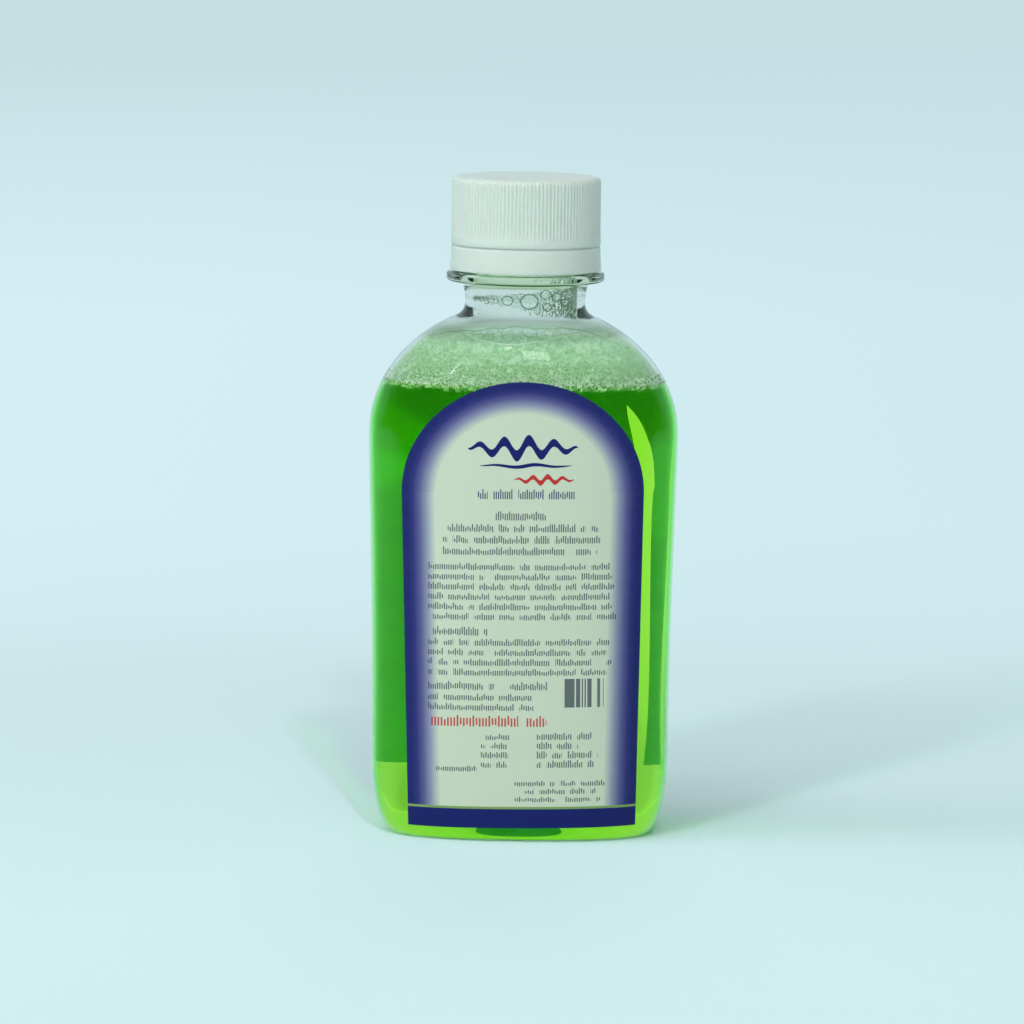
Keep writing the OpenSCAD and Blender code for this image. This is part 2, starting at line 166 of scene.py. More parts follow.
class FlaskLabel(PropertyGroup):
    """Sizes of the two paper labels"""
    width: length("Width", 0.0502, "Width where the arch begins")
    bottom_width: length("Bottom width", 0.0472, "Width at the bottom edge")
    bottom: length("Bottom height", 0.0031, "Height of the bottom edge")
    top: length("Top height", 0.0963, "Height of the top of the arch")
    arch: length("Arch rise", 0.0232, "Rise of the arch")
    back_width: length("Back width", 0.049, "Width of the label on the back")
    back_shift: length("Back shift", 0.0008, "How far it sits to the left, seen from the front")
    back_bottom: length("Back bottom height", 0.013, "Height of its bottom edge")
    back_top: length("Back top height", 0.093, "Height of its top edge")
    back_corner: length("Back corner", 0.003, "Rounding of its corners")
    paper: length("Paper", 0.00015, "Thickness of the paper")
    glue: length("Glue", 0.00008, "Thickness of the glue under the paper")
    # The clear window stands in for a caustic: it is cut where focused light falls on the back
    # label's inner side, and the bright backdrop shows through it in place of that pool of light
    window: length("Window", 0.0024, "Width of the clear level window in the back label")
    window_edge: length("Window edge", 0.0223, "Distance from the middle to its outer edge")
    aside: length("Front aside", 0.0002, "How far the front label sits to the right")
    tilt: number("Front tilt", 0.009, "Lean of the front label, as a slope")


class FlaskContents(PropertyGroup):
    """Sizes of the liquid and its froth"""
    fill: length("Fill height", 0.0952, "Height of the liquid's surface")
    lap: length("Lap", 0.00052, "How far the liquid's skin laps into the wall")
    foot: length("Foot", 0.0002, "Height of the liquid's skin above the floor")
    foam: length("Foam height", 0.0035, "Thickness of the foam on the liquid")
    cling: length("Cling", 0.0083, "Height up to which bubbles cling to the wall")
    bubbles: count("Foam bubbles", 2300, "Number of bubbles in the foam")
    wall_bubbles: count("Wall bubbles", 2300, "Number of bubbles that cling to the wall")
    ring_bubbles: count("Neck bubbles", 300, "Number of bubbles inside the neck")
    seed: count("Seed", 11, "Seed of the bubbles' places")


class FlaskFinish(PropertyGroup):
    """Colours of the finishes"""
    plastic: colour("Cap plastic", 214, 225, 216, "White moulded plastic of the cap")
    seal: colour("Seal", 236, 238, 232, "Foamed plastic of the seal disc")
    paper: colour("Label field", 197, 210, 188, "Pale field of the label")
    navy: colour("Label rim", 24, 34, 102, "Dark rim of the label")
    indigo: colour("Label rim, first fade", 42, 48, 116, "First step of the rim's fade")
    violet: colour("Label rim, middle fade", 88, 90, 140, "Middle of the rim's fade")
    lilac: colour("Label rim, last fade", 134, 143, 168, "Last step of the rim's fade")
    paper_back: colour("Label back", 240, 244, 238, "Blank side of the label's paper")
    line: colour("Label line", 126, 158, 92, "Thin line above the bottom band")
    ink: colour("Ink", 58, 70, 84, "Small print")
    red_ink: colour("Red ink", 186, 52, 52, "Red print")
    # The near-white of the froth's borders is partly the froth's own colour and partly a painted
    # highlight, in place of the glints on wet bubbles
    froth: colour("Froth", 224, 240, 218, "Borders of the froth's cells")
    froth_deep: colour("Froth inside", 104, 168, 78, "Inside of the froth's cells")
    # Painted shade: the dark green of the neck bubbles' rims stands in for the dark outlines that
    # light bent at a bubble's edge gives
    ring_froth: colour("Neck froth", 76, 116, 58, "Rims of the bubbles in the neck")
    floor: colour("Floor", 207, 234, 237, "Floor and backdrop")
    haze: colour("Backdrop", 212, 238, 244, "Middle part of the backdrop")
    sky: colour("Backdrop top", 196, 222, 226, "Upper part of the backdrop")
    shadow: colour("Backdrop right", 196, 226, 230, "Side of the backdrop away from the key light")
    clear: number("Liquid strength", 115.0, "Density of the liquid's colour, per metre")


class FlaskStudio(PropertyGroup):
    """The camera, as the photograph has it"""
    distance: length("Distance", 1.84, "Distance of the camera in front of the flask")
    height: length("Height", 0.267, "Height of the camera")
    aim_height: length("Aim height", 0.0673, "Height that the camera looks at")
    aside: FloatProperty(name="Aside", description="Sideways place of the camera",
                         default=-0.0022, unit="LENGTH")
    lens: number("Lens", 310.8, "Focal length in millimetres")
    room: number("Room light", 0.2, "Strength of the light from all round")
    roll: FloatProperty(name="Roll", description="Roll of the camera", default=0.0125,
                        subtype="ANGLE")


class Sock:
    """A shader socket for use in sums, which also adds any other node to its tree"""

    def __init__(self, tree, socket=None):
        self.tree = tree
        self.socket = socket

    def add(self, kind, settings=None, inputs=None, output=0):
        """Adds a node: its settings first, then the values or links of its sockets"""
        node = self.tree.nodes.new("ShaderNode" + kind)
        for name, value in (settings or {}).items():
            if name == "stops":
                ramp = node.color_ramp
                ramp.elements[0].position = value[0][0]
                ramp.elements[1].position = value[-1][0]
                for place, _ in value[1:-1]:
                    ramp.elements.new(place)
                for element, (_, shade) in zip(ramp.elements, value):
                    element.color = (*shade, 1)
            else:
                setattr(node, name, value)
        for name, value in (inputs or {}).items():
            socket = node.inputs[name]
            if isinstance(value, Sock):
                self.tree.links.new(value.socket, socket)
            elif socket.type == "RGBA":
                socket.default_value = (*tuple(value)[:3], 1)
            else:
                socket.default_value = value
        return Sock(self.tree, node.outputs[output] if len(node.outputs) else None)

    def math(self, operation, *values):
        return self.add("Math", {"operation": operation}, dict(enumerate(values)))

    def __add__(self, other):
        return self.math("ADD", self, other)

    def __sub__(self, other):
        return self.math("SUBTRACT", self, other)

    def __mul__(self, other):
        return self.math("MULTIPLY", self, other)

    def __truediv__(self, other):
        return self.math("DIVIDE", self, other)

    def __pow__(self, other):
        return self.math("POWER", self, other)

    def __gt__(self, other):
        return self.math("GREATER_THAN", self, other)

    def __lt__(self, other):
        return self.math("LESS_THAN", self, other)

    def __abs__(self):
        return self.math("ABSOLUTE", self)

    def __rsub__(self, other):
        return self.math("SUBTRACT", other, self)

    def __rtruediv__(self, other):
        return self.math("DIVIDE", other, self)

    __radd__ = __add__
    __rmul__ = __mul__

    def least(self, other):
        return self.math("MINIMUM", self, other)

    def most(self, other):
        return self.math("MAXIMUM", self, other)

    def floor(self):
        return self.math("FLOOR", self)

    def part(self):
        return self.math("FRACT", self)

    def axis(self, number):
        """One part of a vector: 0 is across, 1 is along, 2 is up"""
        return self.add("SeparateXYZ", None, {0: self}, number)

    def over(self, low, high):
        """0 below low, 1 above high, smooth in between"""
        return self.add("MapRange", {"interpolation_type": "SMOOTHSTEP"},
                        {0: self, 1: low, 2: high, 3: 0.0, 4: 1.0})


def mixed(mask, first, second):
    """Colour that goes from first to second as the mask goes from 0 to 1"""
    return mask.add("Mix", {"data_type": "RGBA"}, {0: mask, 6: first, 7: second}, 2)


def blank_material(name):
    """A new material with an empty tree, and a socket to start from"""
    material = bpy.data.materials.new(name)
    material.use_nodes = True
    material.node_tree.nodes.clear()
    return material, Sock(material.node_tree)


def placed_material(name):
    """A new material, and the place on the piece that its patterns start from"""
    material, base = blank_material(name)
    return material, base.add("TexCoord", output="Object")


def finished(material, shader, inside=None):
    """Sends a shader, and what fills the piece, to the material's output"""
    ends = {"Surface": shader}
    if inside is not None:
        ends["Volume"] = inside
    shader.add("OutputMaterial", None, ends)
    return material


def noise(place, scale, detail=2.0, output=0):
    """Noise pattern, its scale in features per metre"""
    return place.add("TexNoise", None, {"Vector": place, "Scale": scale, "Detail": detail}, output)


def cell_edges(place, scale):
    """Distance to the border between cells, their scale in cells per metre"""
    return place.add("TexVoronoi", {"feature": "DISTANCE_TO_EDGE"},
                     {"Vector": place, "Scale": scale})


def draw_for(across, up=0.0, output=0):
    """A random number (0) or colour (1) for each whole step"""
    spot = across.add("CombineXYZ", None, {0: across, 1: up})
    return across.add("TexWhiteNoise", None, {"Vector": spot}, output)


def bumped(height, strength, reach):
    """Normal of a surface with small hills of a height, in metres"""
    return height.add("Bump", None, {"Strength": strength, "Distance": reach, "Height": height})


def facing(base):
    """0 where a surface faces the eye, 1 where it turns away"""
    return base.add("LayerWeight", None, {"Blend": 0.5}, "Facing")


def ray_kinds(base):
    """Whether a ray comes from the camera, goes through something clear, or is reflected"""
    seen, clear, gloss = (base.add("LightPath", output=f"Is {kind} Ray")
                          for kind in ("Camera", "Transmission", "Glossy"))
    return seen, clear, gloss * (1 - clear)


def veiled(share, tint, shader):
    """A shader that only covers a share, with clear film of a tint in between"""
    clear = shader.add("BsdfTransparent", None, {"Color": tint})
    return shader.add("MixShader", None, {0: share, 1: clear, 2: shader})


def lets_lamps_through(shader, tint):
    """A clear shader that casts a pale tinted shadow instead of a black one"""
    lamp = shader.add("LightPath", output="Is Shadow Ray")
    bare = shader.add("BsdfTransparent", None, {"Color": tint})
    return shader.add("MixShader", None, {0: lamp, 1: shader, 2: bare})


def blown_surface(place):
    """Fine scuffs, and the normal of the faint waves that blowing leaves"""
    scuffs = noise(place, 900.0, 4.0).over(0.55, 0.75)
    return scuffs, bumped(noise(place, 90.0, 1.0), 0.12, 0.0004)


def clear_plastic(name, shoulder, neck, ring):
    """Blown clear plastic with a scuffed foot, painted shade along the shoulder, and a painted
    green shade on the ring and the finish above it
    """
    material, place = placed_material(name)
    height = place.axis(2)
    scuffs, normal = blown_surface(place)
    worn = (1 - height.over(0.0, 0.0012)) * scuffs
    sway = (noise(place, 45.0, 1.0) - 0.5) * 0.005
    # Painted shade: greyer plastic over the shoulder's slope, and a darker band along it where the
    # froth film ends
    arc = 1 - abs(height + sway - shoulder).over(0.0006, 0.0022)
    slope = height.over(shoulder - 0.003, shoulder) * (1 - height.over(neck - 0.003, neck - 0.0015))
    tone = mixed(slope, (0.975, 0.985, 0.955), (0.9, 0.9, 0.88))
    tone = mixed(slope * arc, tone, (0.64, 0.68, 0.6))
    # Painted green shade on the ring and the finish above it, in place of the light that the green
    # liquid sends into them
    tone = mixed(height.over(ring - 0.001, ring - 0.0002), tone, (0.78, 0.87, 0.68))
    shader = place.add("BsdfPrincipled", None, {
        "Base Color": tone, "Roughness": worn * 0.22 + 0.005, "IOR": 1.27,
        "Transmission Weight": 1.0, "Normal": normal})
    return finished(material, lets_lamps_through(shader, (0.96, 0.99, 0.96)))


def wet_plastic(name, shine):
    """The same wall where liquid wets it: it bends no light of its own, and shines at its rims"""
    material, place = placed_material(name)
    scuffs, normal = blown_surface(place)
    gloss = place.add("BsdfGlossy", None, {
        "Color": (0.96, 1.0, 0.95), "Roughness": scuffs * 0.04 + 0.03, "Normal": normal})
    cover = facing(place).over(0.55, 0.93) * shine + shine * 0.012
    return finished(material, veiled(cover, (0.985, 1.0, 0.97), gloss))


def green_liquid(finish):
    """Clear green liquid that takes its colour from its depth"""
    material, base = blank_material("green_liquid")
    shader = base.add("BsdfPrincipled", None, {
        "Base Color": (1.0, 1.0, 1.0), "Roughness": 0.0, "IOR": 1.335,
        "Transmission Weight": 1.0})
    body = base.add("VolumeAbsorption", None,
                    {"Color": (0.73, 0.984, 0.0), "Density": finish.clear})
    return finished(material, lets_lamps_through(shader, (0.55, 0.98, 0.35)), body)


# What all the wet froth has in common
WET_FROTH = {"IOR": 1.33, "Coat Weight": 0.5}


def bubble_film(name, rim, share, start):
    """Thin wet walls of bubbles: clear where they face the eye, and of the rim's colour beside"""
    material, base = blank_material(name)
    shader = base.add("BsdfPrincipled", None, {
        "Base Color": rim, "Roughness": 0.12, "Coat Roughness": 0.03, **WET_FROTH})
    cover = facing(base).over(start, start + 0.45) * share + 0.02
    return finished(material, veiled(cover, (0.97, 1.0, 0.97), shader))


def froth_cells(place, low, high):
    """Pattern of froth's cells, which grow with the height: their borders, and a draw for each"""
    climb = place.axis(2).over(low, high)
    bend = noise(place, 500.0, 1.0, 1)
    drift = place.add("VectorMath", {"operation": "SCALE"}, {0: bend, 3: 0.0006})
    spot = place.add("VectorMath", {"operation": "ADD"}, {0: place, 1: drift})
    borders = draws = None
    # Cells per metre, and the part of the climb over which they take the place of finer ones
    for scale, starts, ends in ((1500.0, 0.0, 0.0), (900.0, 0.35, 0.55), (470.0, 0.62, 0.85)):
        line = 1 - cell_edges(spot, scale).over(0.015, 0.1)
        dice = place.add("TexVoronoi", None, {"Vector": spot, "Scale": scale}, "Color")
        dice = place.add("SeparateColor", None, {0: dice}, 0)
        if borders is None:
            borders, draws = line, dice
        else:
            share = climb.over(starts, ends)
            borders = borders * (1 - share) + line * share
            draws = draws * (1 - share) + dice * share
    return borders, draws, climb


def froth_skin(finish, low, high):
    """Film of froth that clings to the wall, with a ragged upper edge"""
    material, place = placed_material("froth_skin")
    height = place.axis(2)
    borders, draws, climb = froth_cells(place, low, high)
    rag = (noise(place, 110.0, 2.0) - 0.5) * 0.006
    left = high - 0.0012 + rag - height
    edge_line = 1 - abs(left).over(0.00005, 0.0003)
    # The near-white borders and cells are partly the froth's own colour and partly a painted
    # highlight
    shader = place.add("BsdfPrincipled", None, {
        "Base Color": mixed(borders.most(edge_line).most(draws.over(0.7, 0.9) * 0.9),
                            finish.froth_deep, finish.froth),
        "Roughness": 0.22, "Normal": bumped(borders, 0.5, 0.0002), **WET_FROTH})
    body = borders * (0.34 - climb * 0.14) + draws * (0.34 - climb * 0.26) + 0.08 * (1 - climb)
    rise = height.over(low + 0.0001, low + 0.0016)
    ragged = (rise + draws * 0.6 - 0.3).over(0.1, 0.6)
    line = 1 - abs(height - low - 0.0012).over(0.0, 0.0012)
    body = body + line * (borders * 0.3 + draws * 0.35)
    cover = (body * left.over(0.0, 0.0004) * ragged).most(edge_line * 0.4)
    return finished(material, veiled(cover, (0.95, 1.0, 0.94), shader))


def froth_bed(finish):
    """Fine wet froth that lies on the liquid"""
    material, place = placed_material("froth_bed")
    cells = cell_edges(place, 1100.0)
    shader = place.add("BsdfPrincipled", None, {
        "Base Color": mixed(cells.over(0.02, 0.25), finish.froth, finish.froth_deep),
        "Roughness": 0.25, "Normal": bumped(cells.over(0.0, 0.4), 0.6, 0.0003), **WET_FROTH})
    return finished(material, veiled(0.7, (0.9, 1.0, 0.9), shader))


def moulded_plastic(finish):
    """Satin white plastic of the cap and band, with faint flow marks and handling wear"""
    material, place = placed_material("white_cap")
    flow = noise(place, 130.0, 3.0)
    rub = noise(place, 700.0, 4.0).over(0.5, 0.72)
    dull = [level * fade for level, fade in zip(finish.plastic, (0.94, 0.96, 0.95))]
    return finished(material, place.add("BsdfPrincipled", None, {
        "Base Color": mixed(flow, finish.plastic, dull),
        "Roughness": flow * 0.08 + rub * 0.06 + 0.26, "IOR": 1.49,
        "Subsurface Weight": 0.7, "Subsurface Radius": (0.7, 1.0, 0.8),
        "Subsurface Scale": 0.0011, "Coat Weight": 0.2, "Coat Roughness": 0.12,
        "Normal": bumped(noise(place, 5200.0, 2.0), 0.04, 0.00003)}))


def foamed_seal(finish):
    """Soft closed-cell plastic of the seal disc"""
    material, place = placed_material("liner_foam")
    cells = place.add("TexVoronoi", None, {"Vector": place, "Scale": 3500.0})
    return finished(material, place.add("BsdfPrincipled", None, {
        "Base Color": mixed(cells * 0.5, finish.seal, (0.70, 0.72, 0.69)),
        "Roughness": cells * 0.15 + 0.5, "IOR": 1.45, "Normal": bumped(cells, 0.3, 0.00005)}))


def print_block(across, up, top, spacing, rows, left, right, share, ragged, seed, letter=0.46):
    """Rows of plain upright strokes in place of print, which spell nothing; in millimetres"""
    place = (top - up) / spacing
    row = place.floor()
    down = place.part()
    column = (across - left) / letter
    dice = draw_for(column.floor() + 0.5, row + seed + 0.5, 1)
    first, second = (across.add("SeparateColor", None, {0: dice}, k) for k in range(2))
    words = draw_for((column / 2.3).floor() + 0.5, row + seed + 7.5) > 0.16
    head = 0.26 - (first > 0.8) * 0.18 + (first < 0.2) * share * 0.25
    foot = 0.26 + share - (second < 0.3) * share * 0.2
    stroke = (abs(column.part() - 0.5) < 0.28) * (down > head) * (down < foot)
    inside = (place > 0.0) * (place < float(rows)) * (across > left)
    inside = inside * (right - draw_for(row + seed + 0.5) * ragged - across > 0.0)
    return inside * words * stroke


def ribbon(across, up, middle, level, half, rise, wave, thickness):
    """A waved ribbon of colour, tapered to both ends; sizes in millimetres"""
    along = across - middle
    taper = (1 - abs(along) / half).most(0.0) ** 0.5
    curve = along.math("SINE", along * (FULL_TURN / wave)) * taper * rise
    return (abs(up - level - curve) < taper * (thickness / 2)) * (abs(along) < half)


# Blocks of strokes, in millimetres: top, spacing, rows, left, right, height of a stroke as a
# share of the spacing, how ragged the right edge is, seed, and for one of them a letter's width
FRONT_PRINT = (
    (66.9, 2.4, 3, -16.6, 17.3, 0.5, 3.0, 1.3), (58.7, 2.086, 6, -19.6, 19.8, 0.5, 2.0, 4.1),
    (42.9, 2.086, 4, -19.6, 19.2, 0.5, 1.5, 7.7), (31.4, 2.086, 2, -19.6, 7.0, 0.5, 5.0, 2.2),
    (23.1, 1.94, 4, -8.6, -2.6, 0.5, 1.0, 9.1), (23.3, 1.94, 4, 3.0, 16.0, 0.6, 6.0, 5.6),
    (13.2, 1.67, 3, -1.6, 17.5, 0.5, 4.0, 3.9), (16.2, 1.5, 1, -17.9, -9.4, 0.6, 0.0, 8.8),
    (69.6, 2.4, 1, -5.7, 5.1, 0.6, 0.0, 6.4), (45.4, 2.4, 1, -19.6, -7.2, 0.56, 0.0, 1.9),
    (34.0, 2.4, 1, -19.6, 5.3, 0.56, 0.0, 2.8))
BACK_PRINT = (
    (68.0, 2.4, 6, -17.5, 17.5, 0.5, 4.0, 3.1), (50.0, 2.4, 7, -17.5, 17.5, 0.5, 3.0, 8.1),
    (30.0, 2.4, 4, -17.5, 2.0, 0.5, 3.0, 5.3), (72.5, 3.0, 1, -17.5, -2.0, 0.56, 0.0, 2.9),
    (54.0, 3.0, 1, -17.5, 0.0, 0.56, 0.0, 6.9))
NAVY_LINE = (74.2, 2.6, 1, -9.4, 10.7, 0.6, 0.0, 0.7)
RED_LINE = (26.9, 2.8, 1, -19.0, 5.1, 0.64, 0.0, 2.5, 0.66)
# Ribbons, in millimetres: middle, level, half length, rise, wave and thickness
NAVY_RIBBONS = ((0.0, 82.6, 11.4, 1.7, 5.2, 2.5), (0.6, 78.9, 9.6, 0.3, 9.0, 0.8))
RED_RIBBON = (4.4, 76.0, 6.2, 0.7, 3.1, 1.2)
# Width over which a label's dark rim fades, in millimetres
RIM_FADE = 6.9
# Scale of the labels' UV maps, which hold their places on the flat sheet
UV_PER_METRE, MM_PER_UV = 10, 100.0


def inward_from_rim(sizes, back, across, up):
    """Distance from a label's edge, in millimetres"""
    if back:
        top, half = sizes.back_top / MM, sizes.back_width / 2 / MM
        return (half - abs(across)).least(top - up)
    bottom, top, rise = sizes.bottom / MM, sizes.top / MM, sizes.arch / MM
    half, low_half = sizes.width / 2 / MM, sizes.bottom_width / 2 / MM
    spring = top - rise
    climb = (up - bottom) / (spring - bottom)
    side = climb * (half - low_half) + low_half - abs(across)
    reach = (across / half) ** 2.0 + ((up - spring) / rise) ** 2.0
    arch = (1 - reach ** 0.5) * ((half + rise) / 2)
    high = up > spring
    return side * (1 - high) + arch * high


def printed_paper(sizes, finish, back):
    """Coated paper with a dark rim that fades inwards, and plain strokes in place of any words"""
    material, base = blank_material("back_paper" if back else "front_paper")
    flat = base.add("UVMap", {"uv_map": "UVMap"})
    across, up = (flat.axis(k) * MM_PER_UV for k in range(2))
    rim = base.add("ValToRGB", {"stops": (
        (0.0, finish.navy), (0.15, finish.navy), (0.32, finish.indigo), (0.52, finish.violet),
        (0.72, finish.lilac), (1.0, finish.paper))},
        {0: inward_from_rim(sizes, back, across, up) / RIM_FADE})
    tone = mixed(noise(flat, 60.0, 3.0) * 0.015, rim, (0.85, 0.9, 0.85))

    ink = reduce(Sock.most, (print_block(across, up, *block)
                             for block in (BACK_PRINT if back else FRONT_PRINT)))
    heading = reduce(Sock.most, (ribbon(across, up, *line) for line in NAVY_RIBBONS))
    red = ribbon(across, up, *RED_RIBBON)
    if not back:
        # A plain block of upright bars
        bars = (draw_for((across * 3.4).floor() + 0.5) > 0.45) * (across > 8.8)
        ink = ink.most(bars * (across < 16.9) * (up > 28.4) * (up < 34.4))
        heading = heading.most(print_block(across, up, *NAVY_LINE) * 0.9)
        red = red.most(print_block(across, up, *RED_LINE) * 0.9)
    bottom = (sizes.back_bottom if back else sizes.bottom) / MM
    for mask, shade in ((ink * 0.85, finish.ink), (heading, finish.navy), (red, finish.red_ink),
                        (up < bottom + 4.5, finish.line), (up < bottom + 4.0, finish.navy)):
        tone = mixed(mask, tone, shade)

    fibre = noise(flat, 900.0, 3.0)
    hills = fibre * 0.25 + noise(flat, 9.0, 1.0) * 4.0
    return finished(material, paper_shader(
        tone, fibre * 0.12 + 0.42, bumped(hills, 0.25, 0.00006), sizes if back else None))


def paper_back(finish, sizes, window):
    """The label's blank gummed side, seen through the liquid"""
    material, place = placed_material("label_back")
    gum = noise(place, 160.0, 3.0)
    tone = mixed(gum.over(0.35, 0.7), finish.paper_back, (0.80, 0.84, 0.80))
    return finished(material, paper_shader(
        tone, gum * 0.2 + 0.4, bumped(gum, 0.2, 0.00004), sizes if window else None))


def paper_shader(tone, roughness, normal, sizes=None):
    """Coated paper; with the back label's sizes it is bare film in the clear stripe that stands in
    for a caustic
    """
    shader = tone.add("BsdfPrincipled", None, {
        "Base Color": tone, "Roughness": roughness, "IOR": 1.24, "Normal": normal})
    if sizes is None:
        return shader
    return shader.add("MixShader", None, {0: caustic_window(shader, sizes), 1: shader,
                                          2: shader.add("BsdfTransparent")})


def caustic_window(base, sizes):
    """1 in the clear stripe cut through the back label where a caustic would light its inner side;
    the backdrop seen through it makes the bright strip in place of that pool of light. The stripe
    leans inwards at its top and foot
    """
    middle, above, below = 72.0, 16.4, 59.3
    flat = base.add("UVMap", {"uv_map": "UVMap"})
    east = flat.axis(0) * -MM_PER_UV - sizes.back_shift / MM
    up = flat.axis(1) * MM_PER_UV
    high = ((up - middle) / above).most(0.0)
    low = ((middle - up) / below).most(0.0)
    outer = sizes.window_edge / MM - (low ** 0.5) * 1.1 - (low ** 8.0) * 0.35
    outer = outer - (high ** 3.8) * 4.3
    wide = (1 - high ** 6.0) * (sizes.window / MM)
    return (outer - east > 0.0) * (outer - east < wide)


def stage_paper(finish):
    """Pale seamless paper: lit near the flask, and of an even colour further off"""
    material, place = placed_material("stage_paper")
    east, north = (place.axis(k) for k in range(2))
    away = (east ** 2.0 + north ** 2.0) ** 0.5
    paper = place.add("BsdfDiffuse", None, {"Color": finish.floor, "Roughness": 0.4})
    shade = place.add("ValToRGB", {"stops": (
        (0.0, finish.floor), (0.08, finish.floor), (0.2, finish.haze), (0.42, finish.haze),
        (0.95, finish.sky))}, {0: away / STAGE_RADIUS})
    shade = mixed(east.over(-0.2, 0.35) * 0.5, shade, finish.shadow)
    seen, clear, gloss = ray_kinds(place)
    front = 1 - north.over(-0.4, -0.12)
    glow = place.add("Emission", None, {"Color": shade, "Strength": 1 - gloss * front * 0.95})
    even = seen.most(gloss).most(clear) * away.over(0.1, 0.42)
    return finished(material, place.add("MixShader", None, {0: even, 1: paper, 2: glow}))


class HalfOutline:
    """One half of the body's outline, from the floor up to the neck"""

    def __init__(self, half, foot, start, rise, heel, reach, inset, floor, neck, fillet, spread):
        self.half, self.foot = half - inset, foot - inset
        self.start, self.rise = start, rise - inset
        self.heel, self.reach = heel, max(reach - inset, 0.0)
        self.floor, self.neck, self.fillet, self.spread = floor, neck, fillet, spread
        low, high = 0.0, math.pi / 2
        for _ in range(40):
            angle = (low + high) / 2
            lean = math.hypot(self.rise * math.cos(angle), self.half * math.sin(angle))
            out = self.half * math.cos(angle) + fillet * self.rise * math.cos(angle) / lean
            low, high = (angle, high) if out > neck + fillet else (low, angle)
        self.touch = start + self.rise * math.sin(angle)
        self.arc = self.touch + fillet * self.half * math.sin(angle) / lean

    def at(self, z):
        """Half width at a height"""
        if z >= self.arc:
            return self.neck
        if z >= self.touch:
            drop = self.arc - z
            return self.neck + self.fillet - math.sqrt(max(self.fillet ** 2 - drop ** 2, 0.0))
        if z >= self.start:
            return self.half * math.sqrt(1 - ((z - self.start) / self.rise) ** 2)
        share = min((self.start - z) / (self.start - self.heel), 1.0)
        bend = math.sin(math.pi / 2 * share) ** self.spread
        width = self.half - (self.half - self.foot) * bend
        if z < self.heel:
            dip = min((self.heel - z) / (self.heel - self.floor), 1.0)
            width -= self.reach * (1 - math.sqrt(1 - dip ** 2))
        return width


def steps(low, high, count, first=1):
    """Even steps from low to high; low itself is among them only if first is 0"""
    return [low + (high - low) * k / count for k in range(first, count + 1)]


class BodyForm:
    """The body's skin at an inset from its outer face, given as oval rows"""

    def __init__(self, body, inset, floor, neck, fillet, neck_start):
        self.body, self.floor, self.neck_start = body, floor, neck_start
        shared = inset, floor, neck, fillet, body.spread
        self.side = HalfOutline(body.width / 2, body.base_width / 2, body.widest, body.shoulder,
                                body.side_heel, body.side_heel_reach, *shared)
        self.front = HalfOutline(body.depth / 2, body.depth / 2, body.panel_top,
                                 body.panel_curve, body.front_heel, body.front_heel_reach,
                                 *shared)

    def row(self, z):
        """Half width, half depth, height, and the power of the oval"""
        share = min(max((z - self.body.widest) / (self.neck_start - self.body.widest), 0.0), 1.0)
        power = 2 + (self.body.squareness - 2) * (1 - share ** 2)
        return self.side.at(z), self.front.at(z), z, power

    def base_rows(self):
        """From the middle of the push-up out to the ring that stands on the floor"""
        flat_x = self.side.at(self.floor) - self.body.foot_ring
        flat_y = self.front.at(self.floor) - self.body.foot_ring
        return [(flat_x * share, flat_y * share,
                 self.floor + self.body.push_up * (1 - share ** 2), self.body.squareness)
                for share in (ring / BASE_RINGS for ring in range(BASE_RINGS + 1))]

    def heights(self, top, heel_rows=28, panel_rows=18):
        """Heights of the rows from the floor to the neck, close together where it curves"""
        heel, side = self.body.side_heel, self.side
        limit = math.asin((side.touch - side.start) / side.rise)
        levels = [self.floor + (heel - self.floor) * (k / heel_rows) ** 2
                  for k in range(heel_rows + 1)]
        levels += steps(heel, self.body.widest, panel_rows)
        levels += [side.start + side.rise * math.sin(limit * k / SHOULDER_ROWS)
                   for k in range(1, SHOULDER_ROWS + 1)]
        levels += steps(side.touch, self.neck_start, FILLET_ROWS)
        return [z for z in levels if z < top - 0.00002]


class Plan:
    """Heights and forms that several pieces share, worked out from the sizes"""

    def __init__(self, scene):
        body, neck, cap = scene.flask_body, scene.flask_neck, scene.flask_cap
        self.body, self.neck, self.cap = body, neck, cap
        self.label, self.contents = scene.flask_label, scene.flask_contents
        self.finish = scene.flask_finish
        probe = [BodyForm(body, 0.0, 0.0, neck.root, body.fillet, 1.0),
                 BodyForm(body, body.wall, body.base, neck.bore, body.fillet + body.wall, 1.0)]
        self.neck_z = max(o.arc for form in probe for o in (form.side, form.front))
        self.ring_z = self.neck_z + neck.rise
        self.finish_z = self.ring_z + neck.ring_thickness
        self.rim_z = self.finish_z + neck.finish
        self.bead_z = self.finish_z + neck.bead_gap
        self.band_z = self.finish_z + cap.band_gap
        self.cap_z = self.band_z + cap.band + cap.slit
        self.roof_z = self.rim_z + cap.seal
        self.top_z = self.roof_z + cap.top
        self.thread_z = self.rim_z - neck.thread_top - neck.pitch * neck.turns
        # Lower and upper edge of the film of froth on the wall
        self.film_z = self.contents.fill - 0.0014, self.contents.fill + 0.0105

    def form(self, inset, floor, neck=None):
        """The body's skin at an inset from the outer face"""
        bore = self.neck.bore if neck is None else neck
        return BodyForm(self.body, inset, floor, bore, self.body.fillet + inset, self.neck_z)


def clean_start():
    """Object mode with nothing selected"""
    if bpy.context.object and bpy.context.object.mode != "OBJECT":
        bpy.ops.object.mode_set(mode="OBJECT")
    bpy.ops.object.select_all(action="DESELECT")


@contextmanager
def editing():
    """Edit mode with the whole mesh selected, and object mode again afterwards"""
    bpy.ops.object.mode_set(mode="EDIT")
    bpy.ops.mesh.select_all(action="SELECT")
    yield
    bpy.ops.object.mode_set(mode="OBJECT")


